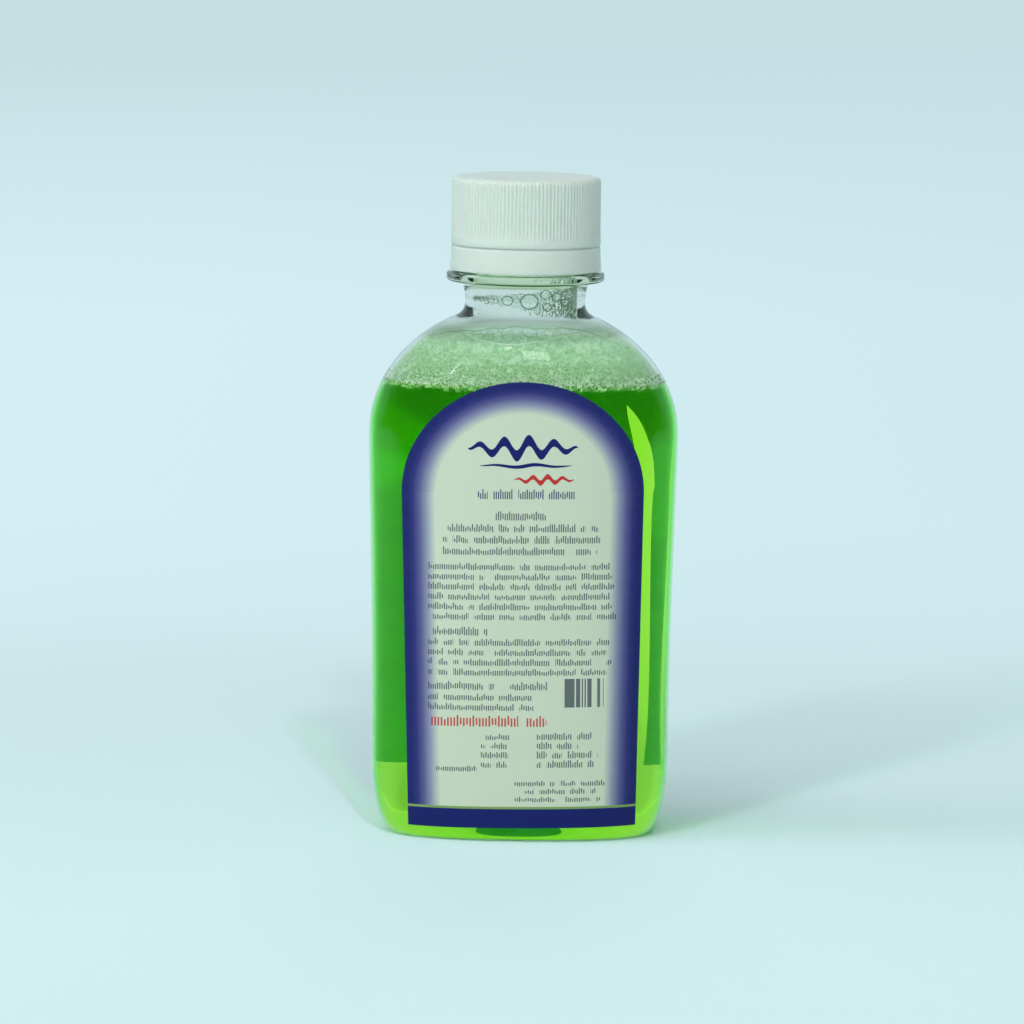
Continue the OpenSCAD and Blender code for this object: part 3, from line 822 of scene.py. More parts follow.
def new_plane():
    """A small plane to start a piece from"""
    clean_start()
    bpy.ops.mesh.primitive_plane_add(size=MM)
    return bpy.context.object


def spin(count, angle, copies=False):
    """Spins what is selected round the upright axis, and selects the whole mesh again"""
    bpy.ops.mesh.spin(steps=count, angle=angle, dupli=copies, center=(0, 0, 0), axis=(0, 0, 1))
    bpy.ops.mesh.select_all(action="SELECT")


def chain_numbers(mesh):
    """The place of each vertex along an open chain that starts at vertex 0"""
    near = {}
    for first, second in (edge.vertices for edge in mesh.edges):
        near.setdefault(first, []).append(second)
        near.setdefault(second, []).append(first)
    numbers = np.zeros(len(mesh.vertices), np.int32)
    last, now = None, 0
    for place in range(len(mesh.vertices)):
        numbers[now] = place
        ahead = [vertex for vertex in near[now] if vertex != last]
        last, now = now, ahead[0] if ahead else now
    return numbers


def spin_rows(name, rows, turn_steps, wedges=1):
    """Draws half a section point by point and spins it; each vertex keeps its row's number.

    With several wedges, one of them is spun, and the others are copies of it.
    """
    piece = new_plane()
    piece.name = piece.data.name = name
    with editing():
        bpy.ops.mesh.select_mode(type="VERT")
        bpy.ops.mesh.merge(type="CENTER")
        bpy.ops.transform.translate(value=(rows[0][0], 0, rows[0][2]))
        for last, row in zip(rows, rows[1:]):
            bpy.ops.mesh.extrude_vertices_move(
                TRANSFORM_OT_translate={"value": (row[0] - last[0], 0, row[2] - last[2])})
    number_of = piece.data.attributes.new("row", "INT", "POINT")
    number_of.data.foreach_set("value", chain_numbers(piece.data))
    wedge = FULL_TURN / wedges
    with editing():
        spin(turn_steps // wedges, wedge)
        if wedges > 1:
            spin(wedges - 1, FULL_TURN - wedge, copies=True)
        bpy.ops.mesh.remove_doubles(threshold=0.000001)
        bpy.ops.mesh.normals_make_consistent(inside=False)
    return piece


def shape_rows(piece, rows, swell=None):
    """Moves a spun piece's vertices onto its oval rows; swell adds to the radius where asked"""
    mesh = piece.data
    total = len(mesh.vertices)
    spots = np.empty(total * 3, np.float32)
    mesh.vertices.foreach_get("co", spots)
    spots = spots.reshape(-1, 3)
    number_of = np.empty(total, np.int32)
    mesh.attributes["row"].data.foreach_get("value", number_of)
    turn = np.arctan2(spots[:, 1], spots[:, 0])
    table = np.array(rows, float)[number_of]
    bend = 2 / table[:, 3]
    cos, sin = np.cos(turn), np.sin(turn)
    placed = np.empty((total, 3))
    placed[:, 0] = table[:, 0] * np.sign(cos) * np.abs(cos) ** bend
    placed[:, 1] = table[:, 1] * np.sign(sin) * np.abs(sin) ** bend
    placed[:, 2] = table[:, 2]
    if swell:
        extra = swell(number_of, turn, placed[:, 2])
        placed[:, 0] += extra * cos
        placed[:, 1] += extra * sin
    mesh.vertices.foreach_set("co", placed.astype(np.float32).ravel())
    mesh.attributes.remove(mesh.attributes["row"])
    mesh.update()


def smooth_step(share):
    """Eases a share, held between 0 and 1, in and out"""
    share = np.clip(share, 0, 1)
    return share * share * (3 - 2 * share)


def thread_swell(turn, z, start_z, start_turn, pitch, turns, height, half_root, half_crest):
    """Height of a screw thread's ridge at each place, with ends that run out"""
    extra = np.zeros(len(z))
    run_out = 0.08
    for lap in range(int(turns) + 3):
        along = (turn - start_turn) / FULL_TURN % 1.0 + lap - 1
        off = np.abs(z - (start_z + pitch * along))
        ends = np.clip(np.minimum(along, turns - along) / run_out, 0, 1)
        slope = smooth_step((half_root - off) / (half_root - half_crest))
        extra = np.maximum(extra, height * slope * ends)
    return extra


def arc_rows(centre_r, centre_z, radius, start, sweep, count=5):
    """Points of a round edge, as radius and height; its angles in degrees"""
    angles = [math.radians(start + sweep * k / count) for k in range(count + 1)]
    return [(centre_r + radius * math.cos(angle), centre_z + radius * math.sin(angle))
            for angle in angles]


def round_rows(points):
    """Radius and height pairs as round rows"""
    return [(r, r, z, 2.0) for r, z in points]


def flat_rows(edge, shares):
    """Smaller copies of a row, all at its height"""
    return [(edge[0] * share, edge[1] * share, edge[2], edge[3]) for share in shares]


def dress(piece, material, body, slot, *nodes, smooth=0.6):
    """Shades a finished piece, gives it its material, and ties it to the frame"""
    clean_start()
    piece.select_set(True)
    bpy.context.view_layer.objects.active = piece
    bpy.ops.object.shade_smooth_by_angle(angle=smooth)
    piece.data.materials.clear()
    piece.data.materials.append(material)
    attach(piece, body)
    if nodes:
        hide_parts(*nodes)


class FLASK_OT_blow_body(Operator):
    """Spins and shapes the clear flask with its base, shoulder, ring, bead and thread"""
    bl_idname = "flask.blow_body"
    bl_label = "Flask"

    def neck_points(self, plan):
        """Radius and height on the neck: below its thread, along the thread, and above it"""
        neck, shank, bead, rim = plan.neck, plan.neck.finish_radius, plan.neck.bead, plan.rim_z
        edge, hub = neck.ring_edge, neck.ring - neck.ring_edge
        low, high = plan.finish_z + BEVEL, plan.bead_z + 0.0004
        below = [(neck.root + (neck.under_ring - neck.root) * share ** 2,
                  plan.neck_z + neck.rise * 0.94 * share) for share in (k / 8 for k in range(9))]
        below.append((neck.under_ring + 0.0004, plan.ring_z - 0.00002))
        below += arc_rows(hub, plan.ring_z + edge, edge, -90, 90)
        below += arc_rows(hub, plan.finish_z - edge, edge, 0, 90)
        below += [(shank + BEVEL, plan.finish_z), (shank, low)]
        below += [(shank, low + 0.0002 * k) for k in range(1, 11)]
        below += [(shank, plan.bead_z), (bead - 0.00012, plan.bead_z + 0.00003),
                  (bead, plan.bead_z + 0.00015), (bead, high)]
        below += [(bead + (shank - bead) * k / 5, high + 0.0013 * k / 5) for k in range(1, 5)]
        lip = 0.0005
        threaded = [(shank, z) for z in steps(plan.bead_z + 0.0017, rim - lip, 46, 0)[:-1]]
        above = arc_rows(shank - lip, rim - lip, lip, 0, 90)
        above += arc_rows(neck.bore + BEVEL, rim - BEVEL, BEVEL, 90, 90, 3)
        above += [(neck.bore, rim - BEVEL - (rim - plan.neck_z - BEVEL) * k / 16)
                  for k in range(1, 17)]
        return below, threaded, above

    def execute(self, context):
        plan = Plan(context.scene)
        body, neck = plan.body, plan.neck
        outer = plan.form(0.0, 0.0, neck.root)
        inner = plan.form(body.wall, body.base)
        rows = outer.base_rows()
        rows += [outer.row(z) for z in outer.heights(plan.neck_z)]
        below, threaded, above = self.neck_points(plan)
        first = len(rows) + len(below)
        rows += round_rows(below + threaded + above)
        rows += [inner.row(z) for z in reversed(inner.heights(plan.neck_z))]
        rows += inner.base_rows()[::-1]
        piece = spin_rows("flask", rows, body.sides, wedges=4)

        def swell(number_of, turn, z):
            extra = thread_swell(turn, z, plan.thread_z, 0.0, neck.pitch, neck.turns,
                                 neck.thread - neck.finish_radius, 0.0011, 0.00045)
            return np.where((number_of >= first) & (number_of < first + len(threaded)), extra, 0)

        shape_rows(piece, rows, swell)
        clear = clear_plastic("clear_pet", plan.film_z[1], plan.neck_z, plan.ring_z)
        dress(piece, clear, "bottle", "clear_pet", "bottle")
        piece.data.materials.append(wet_plastic("wet_pet", 0.62))
        piece.data.materials.append(wet_plastic("wetted_side", 0.0))
        for face in piece.data.polygons:
            middle, way = face.center, face.normal
            inside = middle.x * way.x + middle.y * way.y < 0 or (way.z > 0.5 and middle.z < 0.01)
            if middle.z < plan.contents.fill:
                face.material_index = 2 if inside else 1
        return {"FINISHED"}


class FLASK_OT_pour_liquid(Operator):
    """Fills the flask with the green liquid"""
    bl_idname = "flask.pour_liquid"
    bl_label = "Liquid"

    def execute(self, context):
        plan = Plan(context.scene)
        body, contents = plan.body, plan.contents
        form = plan.form(body.wall - contents.lap, contents.foot)
        rows = form.base_rows()
        rows += [form.row(z) for z in form.heights(contents.fill, heel_rows=30, panel_rows=24)]
        rows += flat_rows(form.row(contents.fill), (1.0, 0.97, 0.85, 0.6, 0.3, 0.0))
        piece = spin_rows("green_mouthwash", rows, body.sides)
        shape_rows(piece, rows)
        dress(piece, green_liquid(plan.finish), "bottle", "green_liquid", "mouthwash")
        return {"FINISHED"}


def bubble_template(fineness):
    """Corners and faces of one small round bubble of radius 1"""
    clean_start()
    bpy.ops.mesh.primitive_ico_sphere_add(subdivisions=fineness, radius=1.0)
    ball = bpy.context.object
    corners = np.array([v.co for v in ball.data.vertices], float)
    faces = np.array([list(p.vertices) for p in ball.data.polygons], int)
    bpy.data.objects.remove(ball)
    return corners, faces


def blow_bubbles(name, bubbles, turned=False):
    """One mesh of many bubbles, each given as its middle and its three radii"""
    corners, faces = bubble_template(3 if turned else 2)
    points, all_faces = [], []
    for k, (x, y, z, *radii) in enumerate(bubbles):
        shape = corners * np.array(radii)
        if turned:
            turn = math.atan2(y, x)
            cos, sin = math.cos(turn), math.sin(turn)
            shape = shape @ np.array(((cos, sin, 0), (-sin, cos, 0), (0, 0, 1)))
        points.append(shape + np.array((x, y, z)))
        all_faces.append(faces + k * len(corners))
    mesh = bpy.data.meshes.new(name)
    mesh.from_pydata(np.concatenate(points).tolist(), [], np.concatenate(all_faces).tolist())
    piece = bpy.data.objects.new(name, mesh)
    bpy.context.scene.collection.objects.link(piece)
    return piece


class Crowd:
    """Round bubbles that don't sink too far into each other, sorted into cubes of space"""
    cube = 0.003

    def __init__(self):
        self.bubbles, self.cubes = [], {}

    def settle(self, candidate, overlap):
        """Keeps a new bubble if there is room for it"""
        x, y, z, r = candidate
        key = tuple(math.floor(v / self.cube) for v in (x, y, z))
        for i, j, k in product((-1, 0, 1), repeat=3):
            for other in self.cubes.get((key[0] + i, key[1] + j, key[2] + k), ()):
                if math.dist(candidate[:3], other[:3]) < (r + other[3]) * overlap:
                    return
        self.cubes.setdefault(key, []).append(candidate)
        self.bubbles.append((x, y, z, r, r, r))

    def fill(self, wanted, tries, overlap, blow):
        """Blows bubbles until that many more have found room, or for so many tries"""
        goal = len(self.bubbles) + wanted
        for _ in range(tries):
            if len(self.bubbles) >= goal:
                break
            candidate = blow()
            if candidate:
                self.settle(candidate, overlap)


def beside_wall(form, r, z, turn, depth=0.0):
    """A bubble at a depth from the wall, or None where there is no room for it"""
    half_x, half_y, _, power = form.row(z)
    half_x, half_y = half_x - r - depth, half_y - r - depth * 0.5
    if min(half_x, half_y) < MM:
        return None
    cos, sin = math.cos(turn), math.sin(turn)
    return (half_x * math.copysign(abs(cos) ** (2 / power), cos),
            half_y * math.copysign(abs(sin) ** (2 / power), sin), z, r)


class FLASK_OT_raise_foam(Operator):
    """Lays the froth and its bubbles on the liquid"""
    bl_idname = "flask.raise_foam"
    bl_label = "Foam"

    def execute(self, context):
        plan = Plan(context.scene)
        contents, fill = plan.contents, plan.contents.fill
        draw = random.Random(contents.seed)
        form = plan.form(plan.body.wall + 0.0002, plan.body.base)
        tries = 60000

        def foam_bubble():
            lift = draw.random() ** 1.9
            r = 0.00026 + 0.00038 * draw.random() ** 2 + 0.0002 * lift
            z = fill - 0.0003 + lift * contents.cling
            turn = draw.uniform(0, FULL_TURN)
            depth = draw.random() ** 2.5 * 0.006 if draw.random() < 0.7 else draw.random() * 0.03
            return beside_wall(form, r, z, turn, 0.0 if z > fill + contents.foam else depth)

        def wall_bubble():
            lift = draw.random() ** 1.6
            r = 0.00028 + 0.00022 * draw.random() + 0.00055 * lift ** 2 * draw.random()
            z = fill - 0.0004 + lift * contents.cling
            return beside_wall(form, r, z, draw.uniform(0, FULL_TURN))

        crowd = Crowd()
        crowd.fill(contents.bubbles, tries, 0.72, foam_bubble)
        low_count = len(crowd.bubbles)
        crowd.fill(contents.wall_bubbles, tries, 0.8, wall_bubble)
        wall = blow_bubbles("wall_bubbles", crowd.bubbles[low_count:])
        foam = blow_bubbles("foam_bubbles", crowd.bubbles[:low_count])
        # The pale rims of the foam bubbles are partly the froth's own colour and partly a painted
        # highlight
        film = bubble_film("foam_film", plan.finish.froth, 0.75, 0.35)
        for piece in (foam, wall):
            dress(piece, film, "bottle", "froth", "foam_layer", smooth=1.5)
        self.skin(plan)
        self.bed(plan, form)
        return {"FINISHED"}

    def skin(self, plan):
        """The film of froth that clings to the wall above the liquid"""
        low, high = plan.film_z
        outer, inner = (plan.form(plan.body.wall + inset, plan.body.base)
                        for inset in (0.00012, 0.0005))
        heights = steps(low, high, 22, 0)
        rows = [outer.row(z) for z in heights] + [inner.row(z) for z in reversed(heights)]
        rows.append(rows[0])
        skin = spin_rows("froth_skin", rows, plan.body.sides, wedges=4)
        shape_rows(skin, rows)
        dress(skin, froth_skin(plan.finish, low, high), "bottle", "froth", "foam_layer")

    def bed(self, plan, form):
        """The lumpy bed of fine froth on the liquid"""
        low, high = plan.contents.fill - 0.0003, plan.contents.fill + 0.0012
        rows = flat_rows(form.row(low), (0.0, 0.5, 0.95))
        rows += [form.row(z) for z in steps(low, high, 5, 0)]
        rows += flat_rows(form.row(high), np.linspace(0.97, 0.0, 26))
        bed = spin_rows("froth_bed", rows, 160)
        shape_rows(bed, rows)
        draw = random.Random(plan.contents.seed + 1)
        lumps = [(draw.uniform(300, 1500), draw.uniform(0, FULL_TURN), draw.uniform(0, 9))
                 for _ in range(14)]
        for vertex in bed.data.vertices:
            x, y, z = vertex.co
            if z > low + 0.0002:
                vertex.co.z += sum(math.sin(f * (x * math.cos(a) + y * math.sin(a)) + p)
                                   for f, a, p in lumps) * 0.00011
        dress(bed, froth_bed(plan.finish), "bottle", "froth", "foam_layer")


class FLASK_OT_ring_froth(Operator):
    """Hangs the ring of large and small bubbles inside the neck"""
    bl_idname = "flask.ring_froth"
    bl_label = "Neck froth"

    def execute(self, context):
        plan = Plan(context.scene)
        draw = random.Random(plan.contents.seed + 2)
        middle, reach = plan.neck_z + 0.0006, plan.neck.bore
        crowd = Crowd()

        def hung(turn, z, r):
            hold = reach - r * 0.45
            return hold * math.cos(turn), hold * math.sin(turn), z, r

        def neck_bubble():
            turn = draw.uniform(0, FULL_TURN)
            east = (math.cos(turn) + 1) / 2
            spread = 0.0003 + 0.0029 * east ** 1.2
            r = 0.00025 + 0.00035 * draw.random() + 0.0006 * east * draw.random() ** 3
            return hung(turn, middle + draw.uniform(-1, 1) * spread, r)

        # The large bubbles: how far east and up they are, and their radius
        for east, up, r in ((-0.0038, 0.0001, 0.00125), (0.0009, 0.0, 0.0019),
                            (0.0043, 0.0015, 0.00125), (0.0047, -0.0012, 0.001),
                            (0.0066, 0.0009, 0.0012), (-0.0009, 0.0011, 0.0008),
                            (0.0026, -0.0019, 0.0008), (-0.0061, 0.0, 0.0007),
                            (0.0083, -0.0004, 0.0011)):
            crowd.settle(hung(-math.pi / 2 + math.asin(east / reach), middle + up, r), 0.5)
        crowd.fill(plan.contents.ring_bubbles - len(crowd.bubbles), 40000, 0.86, neck_bubble)
        flat = [(x, y, z, r * 0.5, r, r * 0.9) for x, y, z, r, _, _ in crowd.bubbles]
        piece = blow_bubbles("neck_bubbles", flat, turned=True)
        # The rims are a painted dark-green shade, in place of the dark outlines that bent light
        # gives bubble edges
        film = bubble_film("neck_film", plan.finish.ring_froth, 0.95, 0.16)
        dress(piece, film, "bottle", "froth", "neck_froth", smooth=1.5)
        return {"FINISHED"}


class FLASK_OT_mould_cap(Operator):
    """Spins the cap with its ribs, collar and inner thread"""
    bl_idname = "flask.mould_cap"
    bl_label = "Cap"

    def execute(self, context):
        plan = Plan(context.scene)
        cap, neck = plan.cap, plan.neck
        root = cap.diameter / 2 - cap.rib_depth
        ribs_from = plan.cap_z + cap.collar_height
        ribs_full = ribs_from + cap.collar_slope
        edge_z, flat = plan.top_z - cap.edge, root - cap.edge
        dish, edge, bore_steps = 0.00012, 0.0002, 38
        points = [(share * flat, plan.top_z - dish * share ** 6)
                  for share in (0.0, 0.1, 0.22, 0.34, 0.46, 0.58, 0.68, 0.76, 0.84, 0.92, 0.98)]
        points += [(r, z - dish) for r, z in arc_rows(flat, edge_z, cap.edge, 90, -90, 7)]
        points += [(root, edge_z - 0.0004), (root, edge_z - 0.001)]
        points += [(root, edge_z - 0.001 + (ribs_full - edge_z + 0.001) * k / 5)
                   for k in range(1, 6)]
        points += [(root + (cap.collar - root) * k / 6, ribs_full - cap.collar_slope * k / 6)
                   for k in range(1, 7)]
        points += [(cap.collar, ribs_from - 0.0003), (cap.collar, plan.cap_z + 0.0001),
                   (cap.collar - 0.0001, plan.cap_z), (cap.bore + edge, plan.cap_z),
                   (cap.bore, plan.cap_z + edge)]
        outside = len(points)
        points += [(cap.bore, plan.cap_z + edge + (plan.roof_z - plan.cap_z - 0.0005)
                    * k / bore_steps) for k in range(1, bore_steps + 1)]
        points += [(cap.bore - edge, plan.roof_z - 0.00005), (cap.bore * 0.9, plan.roof_z),
                   (cap.bore * 0.5, plan.roof_z), (0.0, plan.roof_z)]
        rows = round_rows(points)
        piece = spin_rows("screw_cap", rows, cap.ribs * 8, wedges=12)

        def swell(number_of, turn, z):
            phase = np.abs(turn / FULL_TURN * cap.ribs % 1.0 - 0.5) * 2
            crest = smooth_step((phase - 0.38) / 0.3)
            low = np.clip((z - ribs_from - 0.0002) / (cap.collar_slope * 0.8), 0, 1)
            high = np.clip((plan.top_z - 0.0002 - z) / cap.edge, 0, 1)
            ribs = cap.rib_depth * crest * low * high
            inside = -thread_swell(turn, z, plan.thread_z - neck.pitch * 0.35,
                                   FULL_TURN * 0.15, neck.pitch, cap.turns,
                                   cap.bore - neck.finish_radius - cap.clearance, 0.00075,
                                   0.0003)
            wall = (number_of >= outside) & (number_of < outside + bore_steps)
            return np.where(number_of < outside - 4, ribs, np.where(wall, inside, 0))

        shape_rows(piece, rows, swell)
        dress(piece, moulded_plastic(plan.finish), "cap", "white_cap", "cap_shell", smooth=0.9)
        return {"FINISHED"}


class FLASK_OT_cut_seal(Operator):
    """Makes the seal disc with its shallow sealing ring"""
    bl_idname = "flask.cut_seal"
    bl_label = "Seal disc"

    def execute(self, context):
        plan = Plan(context.scene)
        low, high, reach = plan.rim_z, plan.roof_z, plan.cap.seal_radius
        edge, dent = 0.0002, low + 0.00008
        points = [(0.0, low), (reach * 0.4, low), (reach * 0.78, low), (reach * 0.8, dent),
                  (reach * 0.9, dent), (reach * 0.92, low)]
        points += arc_rows(reach - edge, low + edge, edge, -90, 90, 4)
        points += arc_rows(reach - edge, high - edge, edge, 0, 90, 4)
        points += [(reach * 0.5, high), (0.0, high)]
        rows = round_rows(points)
        piece = spin_rows("seal_disc", rows, 144)
        shape_rows(piece, rows)
        dress(piece, foamed_seal(plan.finish), "liner", "liner_foam", "cap_liner")
        return {"FINISHED"}


class FLASK_OT_mould_band(Operator):
    """Spins the tamper band and adds its bridges and flaps"""
    bl_idname = "flask.mould_band"
    bl_label = "Tamper band"

    def execute(self, context):
        plan = Plan(context.scene)
        cap, low, high = plan.cap, plan.band_z, plan.band_z + plan.cap.band
        edge, lip = 0.00018, high + cap.slit - 0.00005
        points = [(cap.band_bore, low + 0.0002), (cap.band_bore + 0.0002, low)]
        points += arc_rows(cap.band_bottom - edge, low + edge, edge, -90, 86, 4)
        points += list(zip(steps(cap.band_bottom, cap.band_top, 6), steps(low, high, 6)))[:-1]
        points += arc_rows(cap.band_top - edge, high - edge, edge, 0, 90, 4)
        points += [(cap.band_top - 0.0002, high), (cap.band_top - 0.0002, lip),
                   (cap.band_bore + 0.0001, lip), (cap.band_bore, lip - 0.0001),
                   (cap.band_bore, low + 0.0002)]
        rows = round_rows(points)
        ring = spin_rows("tamper_ring", rows, 288)
        shape_rows(ring, rows)
        parts = [self.bridge(cap, high, FULL_TURN * (k + 0.5) / cap.bridges)
                 for k in range(cap.bridges)]
        parts += [self.flap(cap, low, FULL_TURN * k / cap.flaps + 0.05)
                  for k in range(cap.flaps)]
        clean_start()
        for part in (ring, *parts):
            part.select_set(True)
        bpy.context.view_layer.objects.active = ring
        bpy.ops.object.join()
        dress(ring, moulded_plastic(plan.finish), "band", "white_cap", "tamper_band", smooth=0.7)
        return {"FINISHED"}

    def bridge(self, cap, high, turn):
        """One thin bridge that stands on the band and reaches across the slit"""
        sink = 0.00025
        rise = cap.slit - 0.0001 + sink
        clean_start()
        bpy.ops.mesh.primitive_cube_add(size=1)
        stub = bpy.context.object
        with editing():
            bpy.ops.transform.resize(value=(0.0005, 0.0007, rise))
            bpy.ops.mesh.bevel(offset=0.00008, segments=2, affect="EDGES")
            bpy.ops.transform.translate(value=(cap.band_bore + 0.0005, 0, high - sink + rise / 2))
        stub.data.transform(Matrix.Rotation(turn, 4, "Z"))
        return stub

    def flap(self, cap, low, start):
        """One thin flap inside the band, spun through its share of the turn"""
        hinge, tip = cap.band_bore + 0.0002, cap.band_bore - 0.0011
        section = (hinge, 0.0004), (tip, 0.0013), (tip, 0.0019), (hinge, 0.001)
        flap = new_plane()
        for corner, (r, rise) in zip((0, 1, 3, 2), section):
            flap.data.vertices[corner].co = (r * math.cos(start), r * math.sin(start), low + rise)
        with editing():
            spin(12, 0.1 - FULL_TURN / cap.flaps)
            bpy.ops.mesh.normals_make_consistent(inside=False)
        return flap


class FLASK_OT_stick_labels(Operator):
    """Lays the two printed paper labels on the front and back panels"""
    bl_idname = "flask.stick_labels"
    bl_label = "Labels"

    def arched(self, label, share):
        """Height and half width of the front label, from its bottom to its top"""
        spring, straight = label.top - label.arch, 0.68
        if share > straight:
            angle = math.radians(88.8) * (share - straight) / (1 - straight)
            return spring + label.arch * math.sin(angle), label.width / 2 * math.cos(angle)
        climb = (share / straight) ** 1.3
        half = (label.bottom_width + (label.width - label.bottom_width) * climb) / 2
        return label.bottom + (spring - label.bottom) * climb, half

    def squared(self, label, share):
        """Height and half width of the back label, which has round corners"""
        r, low, high = label.back_corner, label.back_bottom, label.back_top
        turn, beside = 0.12, min(share, 1 - share)
        if beside > turn:
            climb = (share - turn) / (1 - 2 * turn)
            return low + r + (high - low - 2 * r) * climb, label.back_width / 2
        angle = math.pi / 2 * beside / turn
        half = label.back_width / 2 - r + r * math.sin(angle)
        inset = r * (1 - math.cos(angle))
        return (low + inset if share < 0.5 else high - inset), half

    def sheet(self, plan, name, back):
        """One label: a grid brought to its outline, bent onto the panel, with its thickness"""
        label = plan.label
        form = plan.form(0.0, 0.0, plan.neck.root)
        clean_start()
        bpy.ops.mesh.primitive_grid_add(x_subdivisions=72, y_subdivisions=110, size=1.0,
                                        calc_uvs=True)
        sheet = bpy.context.object
        sheet.name = sheet.data.name = name
        mesh = sheet.data
        outline = self.squared if back else self.arched
        flat = []
        for vertex in mesh.vertices:
            z, half = outline(label, vertex.co.y + 0.5)
            x = 2 * vertex.co.x * half
            flat.append((x, z))
            if back:
                x += label.back_shift
            else:
                x, z = x + label.aside + (0.05 - z) * label.tilt, z + x * label.tilt
            hx, hy, _, power = form.row(z)
            y = hy * max(1 - (abs(x) / hx) ** power, 0.0) ** (1 / power)
            vertex.co = (x, -y - label.glue, z)
        places = mesh.uv_layers["UVMap"].data
        for loop in mesh.loops:
            x, z = flat[loop.vertex_index]
            places[loop.index].uv = (x * UV_PER_METRE, z * UV_PER_METRE)
        if back:
            with editing():
                bpy.ops.transform.rotate(value=math.pi, orient_axis="Z",
                                         center_override=(0, 0, 0))
        paper = sheet.modifiers.new("Paper", "SOLIDIFY")
        paper.thickness = label.paper
        paper.offset = 1.0
        bpy.ops.object.modifier_apply(modifier=paper.name)
        inwards = -1 if back else 1
        for face in mesh.polygons:
            face.material_index = int(face.normal.y * inwards > 0.3)
        return sheet

    def execute(self, context):
        plan = Plan(context.scene)
        for name, back, node in (("front_sheet", False, "front_label"),
                                 ("back_sheet", True, "back_label")):
            sheet = self.sheet(plan, name, back)
            paper = printed_paper(plan.label, plan.finish, back)
            blank = paper_back(plan.finish, plan.label, back)
            sides = [face.material_index for face in sheet.data.polygons]
            dress(sheet, paper, "bottle", "label_paper", node)
            sheet.data.materials.append(blank)
            sheet.data.polygons.foreach_set("material_index", sides)
        return {"FINISHED"}


class FLASK_OT_set_stage(Operator):
    """Sets up the seamless floor, the soft lights and the camera"""
    bl_idname = "flask.set_stage"
    bl_label = "Stage"

    def execute(self, context):
        scene = context.scene
        clean_start()
        bpy.ops.mesh.primitive_circle_add(vertices=96, radius=STAGE_RADIUS, fill_type="NGON")
        floor = bpy.context.object
        floor.name = floor.data.name = "floor"
        floor.data.materials.append(stage_paper(scene.flask_finish))
        self.room(scene)
        for lamp in LAMPS:
            self.lamp(scene, *lamp)
        self.camera(scene, scene.flask_studio)
        scene.view_settings.view_transform = "Standard"
        scene.cycles.max_bounces = 24
        scene.cycles.transmission_bounces = 24
        scene.cycles.transparent_max_bounces = 32
        return {"FINISHED"}

    def room(self, scene):
        """Soft light from all round, brighter where it is seen or mirrored from the back"""
        world = bpy.data.worlds.new("soft_room")
        scene.world = world
        world.use_nodes = True
        world.node_tree.nodes.clear()
        base = Sock(world.node_tree)
        way = base.add("TexCoord", output="Generated")
        steep = abs(way.axis(2))
        seen, clear, gloss = ray_kinds(base)
        bright = seen.most(clear).most(gloss * way.axis(1).over(0.05, 0.5))
        bright = bright * (1 - steep.over(0.35, 0.8) * 0.3)
        strength = bright + (1 - bright) * scene.flask_studio.room * (1 - gloss * 0.6)
        base.add("OutputWorld", None, {"Surface": base.add("Background", None, {
            "Color": mixed(bright, (0.93, 0.98, 1.0), scene.flask_finish.sky),
            "Strength": strength})})

    def lamp(self, scene, name, azimuth, elevation, away, wide, tall, level, glossy):
        """One soft lamp that faces the flask"""
        lamp = bpy.data.lights.new(name, "AREA")
        lamp.shape, lamp.size, lamp.size_y = "RECTANGLE", wide, tall
        lamp.energy = level * (math.pi * away) ** 2
        holder = bpy.data.objects.new(name, lamp)
        turn, lift = math.radians(azimuth), math.radians(elevation)
        aim = Vector((math.sin(turn) * math.cos(lift), -math.cos(turn) * math.cos(lift),
                      math.sin(lift)))
        holder.location = aim * away + Vector((0, 0, 0.07))
        holder.rotation_euler = (-aim).to_track_quat("-Z", "Y").to_euler()
        holder.visible_glossy = holder.visible_transmission = glossy
        scene.collection.objects.link(holder)

    def camera(self, scene, studio):
        """The camera of the photograph"""
        lens = bpy.data.cameras.new("camera")
        lens.lens, lens.sensor_width, lens.clip_start = studio.lens, 36.0, 0.05
        camera = bpy.data.objects.new("camera", lens)
        scene.collection.objects.link(camera)
        place = Vector((studio.aside, -studio.distance, studio.height))
        aim = Vector((studio.aside, 0, studio.aim_height)) - place
        camera.matrix_world = (Matrix.Translation(place)
                               @ aim.to_track_quat("-Z", "Y").to_matrix().to_4x4()
                               @ Matrix.Rotation(studio.roll, 4, "Z"))
        scene.camera = camera


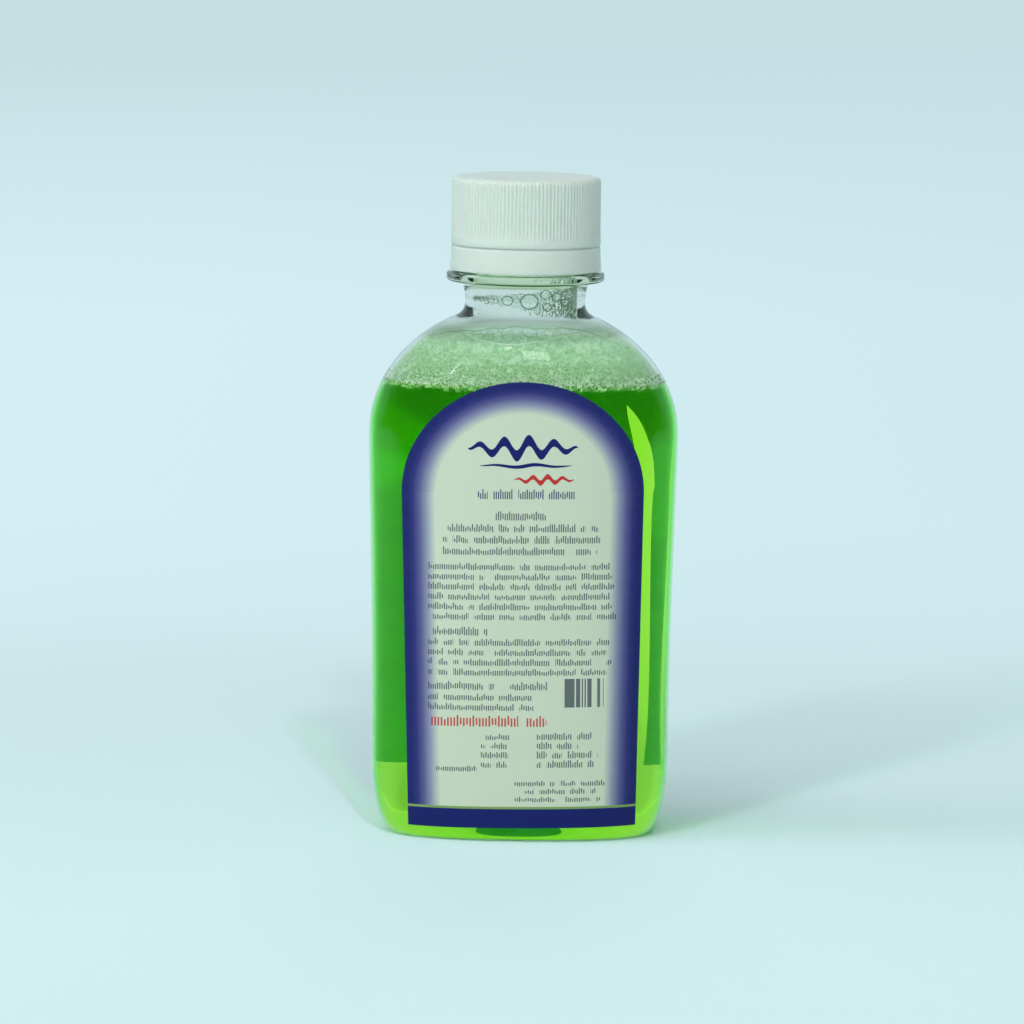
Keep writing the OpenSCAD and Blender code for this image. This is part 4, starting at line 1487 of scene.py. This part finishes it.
# Name, azimuth and elevation in degrees, distance, width, height, level, shows in reflections
LAMPS = (("soft_front", -14, 55, 2.2, 2.0, 1.4, 0.27, False),
         ("crisp_front", 6.5, 29, 2.6, 0.07, 0.18, 0.17, False),
         ("low_left", -24, 22, 2.6, 0.22, 0.22, 0.2, False),
         ("high_left", -30, 60, 2.5, 0.4, 0.4, 0.06, False),
         ("side_left", -76, 38, 2.5, 1.3, 1.3, 0.26, False),
         ("backdrop", 176, 17, 2.5, 1.2, 0.6, 0.4, False),
         ("window", 6, 29, 1.5, 0.3, 0.3, 0.06, True),
         ("small_window", -10, 39, 1.5, 0.1, 0.13, 0.015, True),
         ("strip", -39, 21, 1.5, 0.03, 0.3, 0.015, True))


PIECES = (FLASK_OT_set_stage, FLASK_OT_blow_body, FLASK_OT_pour_liquid, FLASK_OT_raise_foam,
          FLASK_OT_ring_froth, FLASK_OT_mould_cap, FLASK_OT_cut_seal, FLASK_OT_mould_band,
          FLASK_OT_stick_labels)
GROUPS = {"flask_body": FlaskBody, "flask_neck": FlaskNeck, "flask_cap": FlaskCap,
          "flask_label": FlaskLabel, "flask_contents": FlaskContents,
          "flask_finish": FlaskFinish, "flask_studio": FlaskStudio}


class FLASK_PT_workshop(Panel):
    """Lists the pieces and the sizes that they are made from"""
    bl_label = "Mouthwash Flask"
    bl_idname = "FLASK_PT_workshop"
    bl_space_type = "VIEW_3D"
    bl_region_type = "UI"
    bl_category = "Flask"

    def draw(self, context):
        column = self.layout.column(align=True)
        for piece in PIECES:
            column.operator(piece.bl_idname)
        for name, group in GROUPS.items():
            box = self.layout.box()
            box.label(text=group.__doc__)
            for key in group.__annotations__:
                box.prop(getattr(context.scene, name), key)


def register():
    for group in (*GROUPS.values(), *PIECES, FLASK_PT_workshop):
        bpy.utils.register_class(group)
    for name, group in GROUPS.items():
        setattr(bpy.types.Scene, name, PointerProperty(type=group))


def unregister():
    for name in GROUPS:
        delattr(bpy.types.Scene, name)
    for group in (FLASK_PT_workshop, *reversed(PIECES), *reversed(GROUPS.values())):
        bpy.utils.unregister_class(group)


def main():
    """Registers the add-on and makes every piece"""
    register()
    for piece in PIECES:
        family, action = piece.bl_idname.split(".")
        getattr(getattr(bpy.ops, family), action)()


if __name__ == "__main__":
    main()
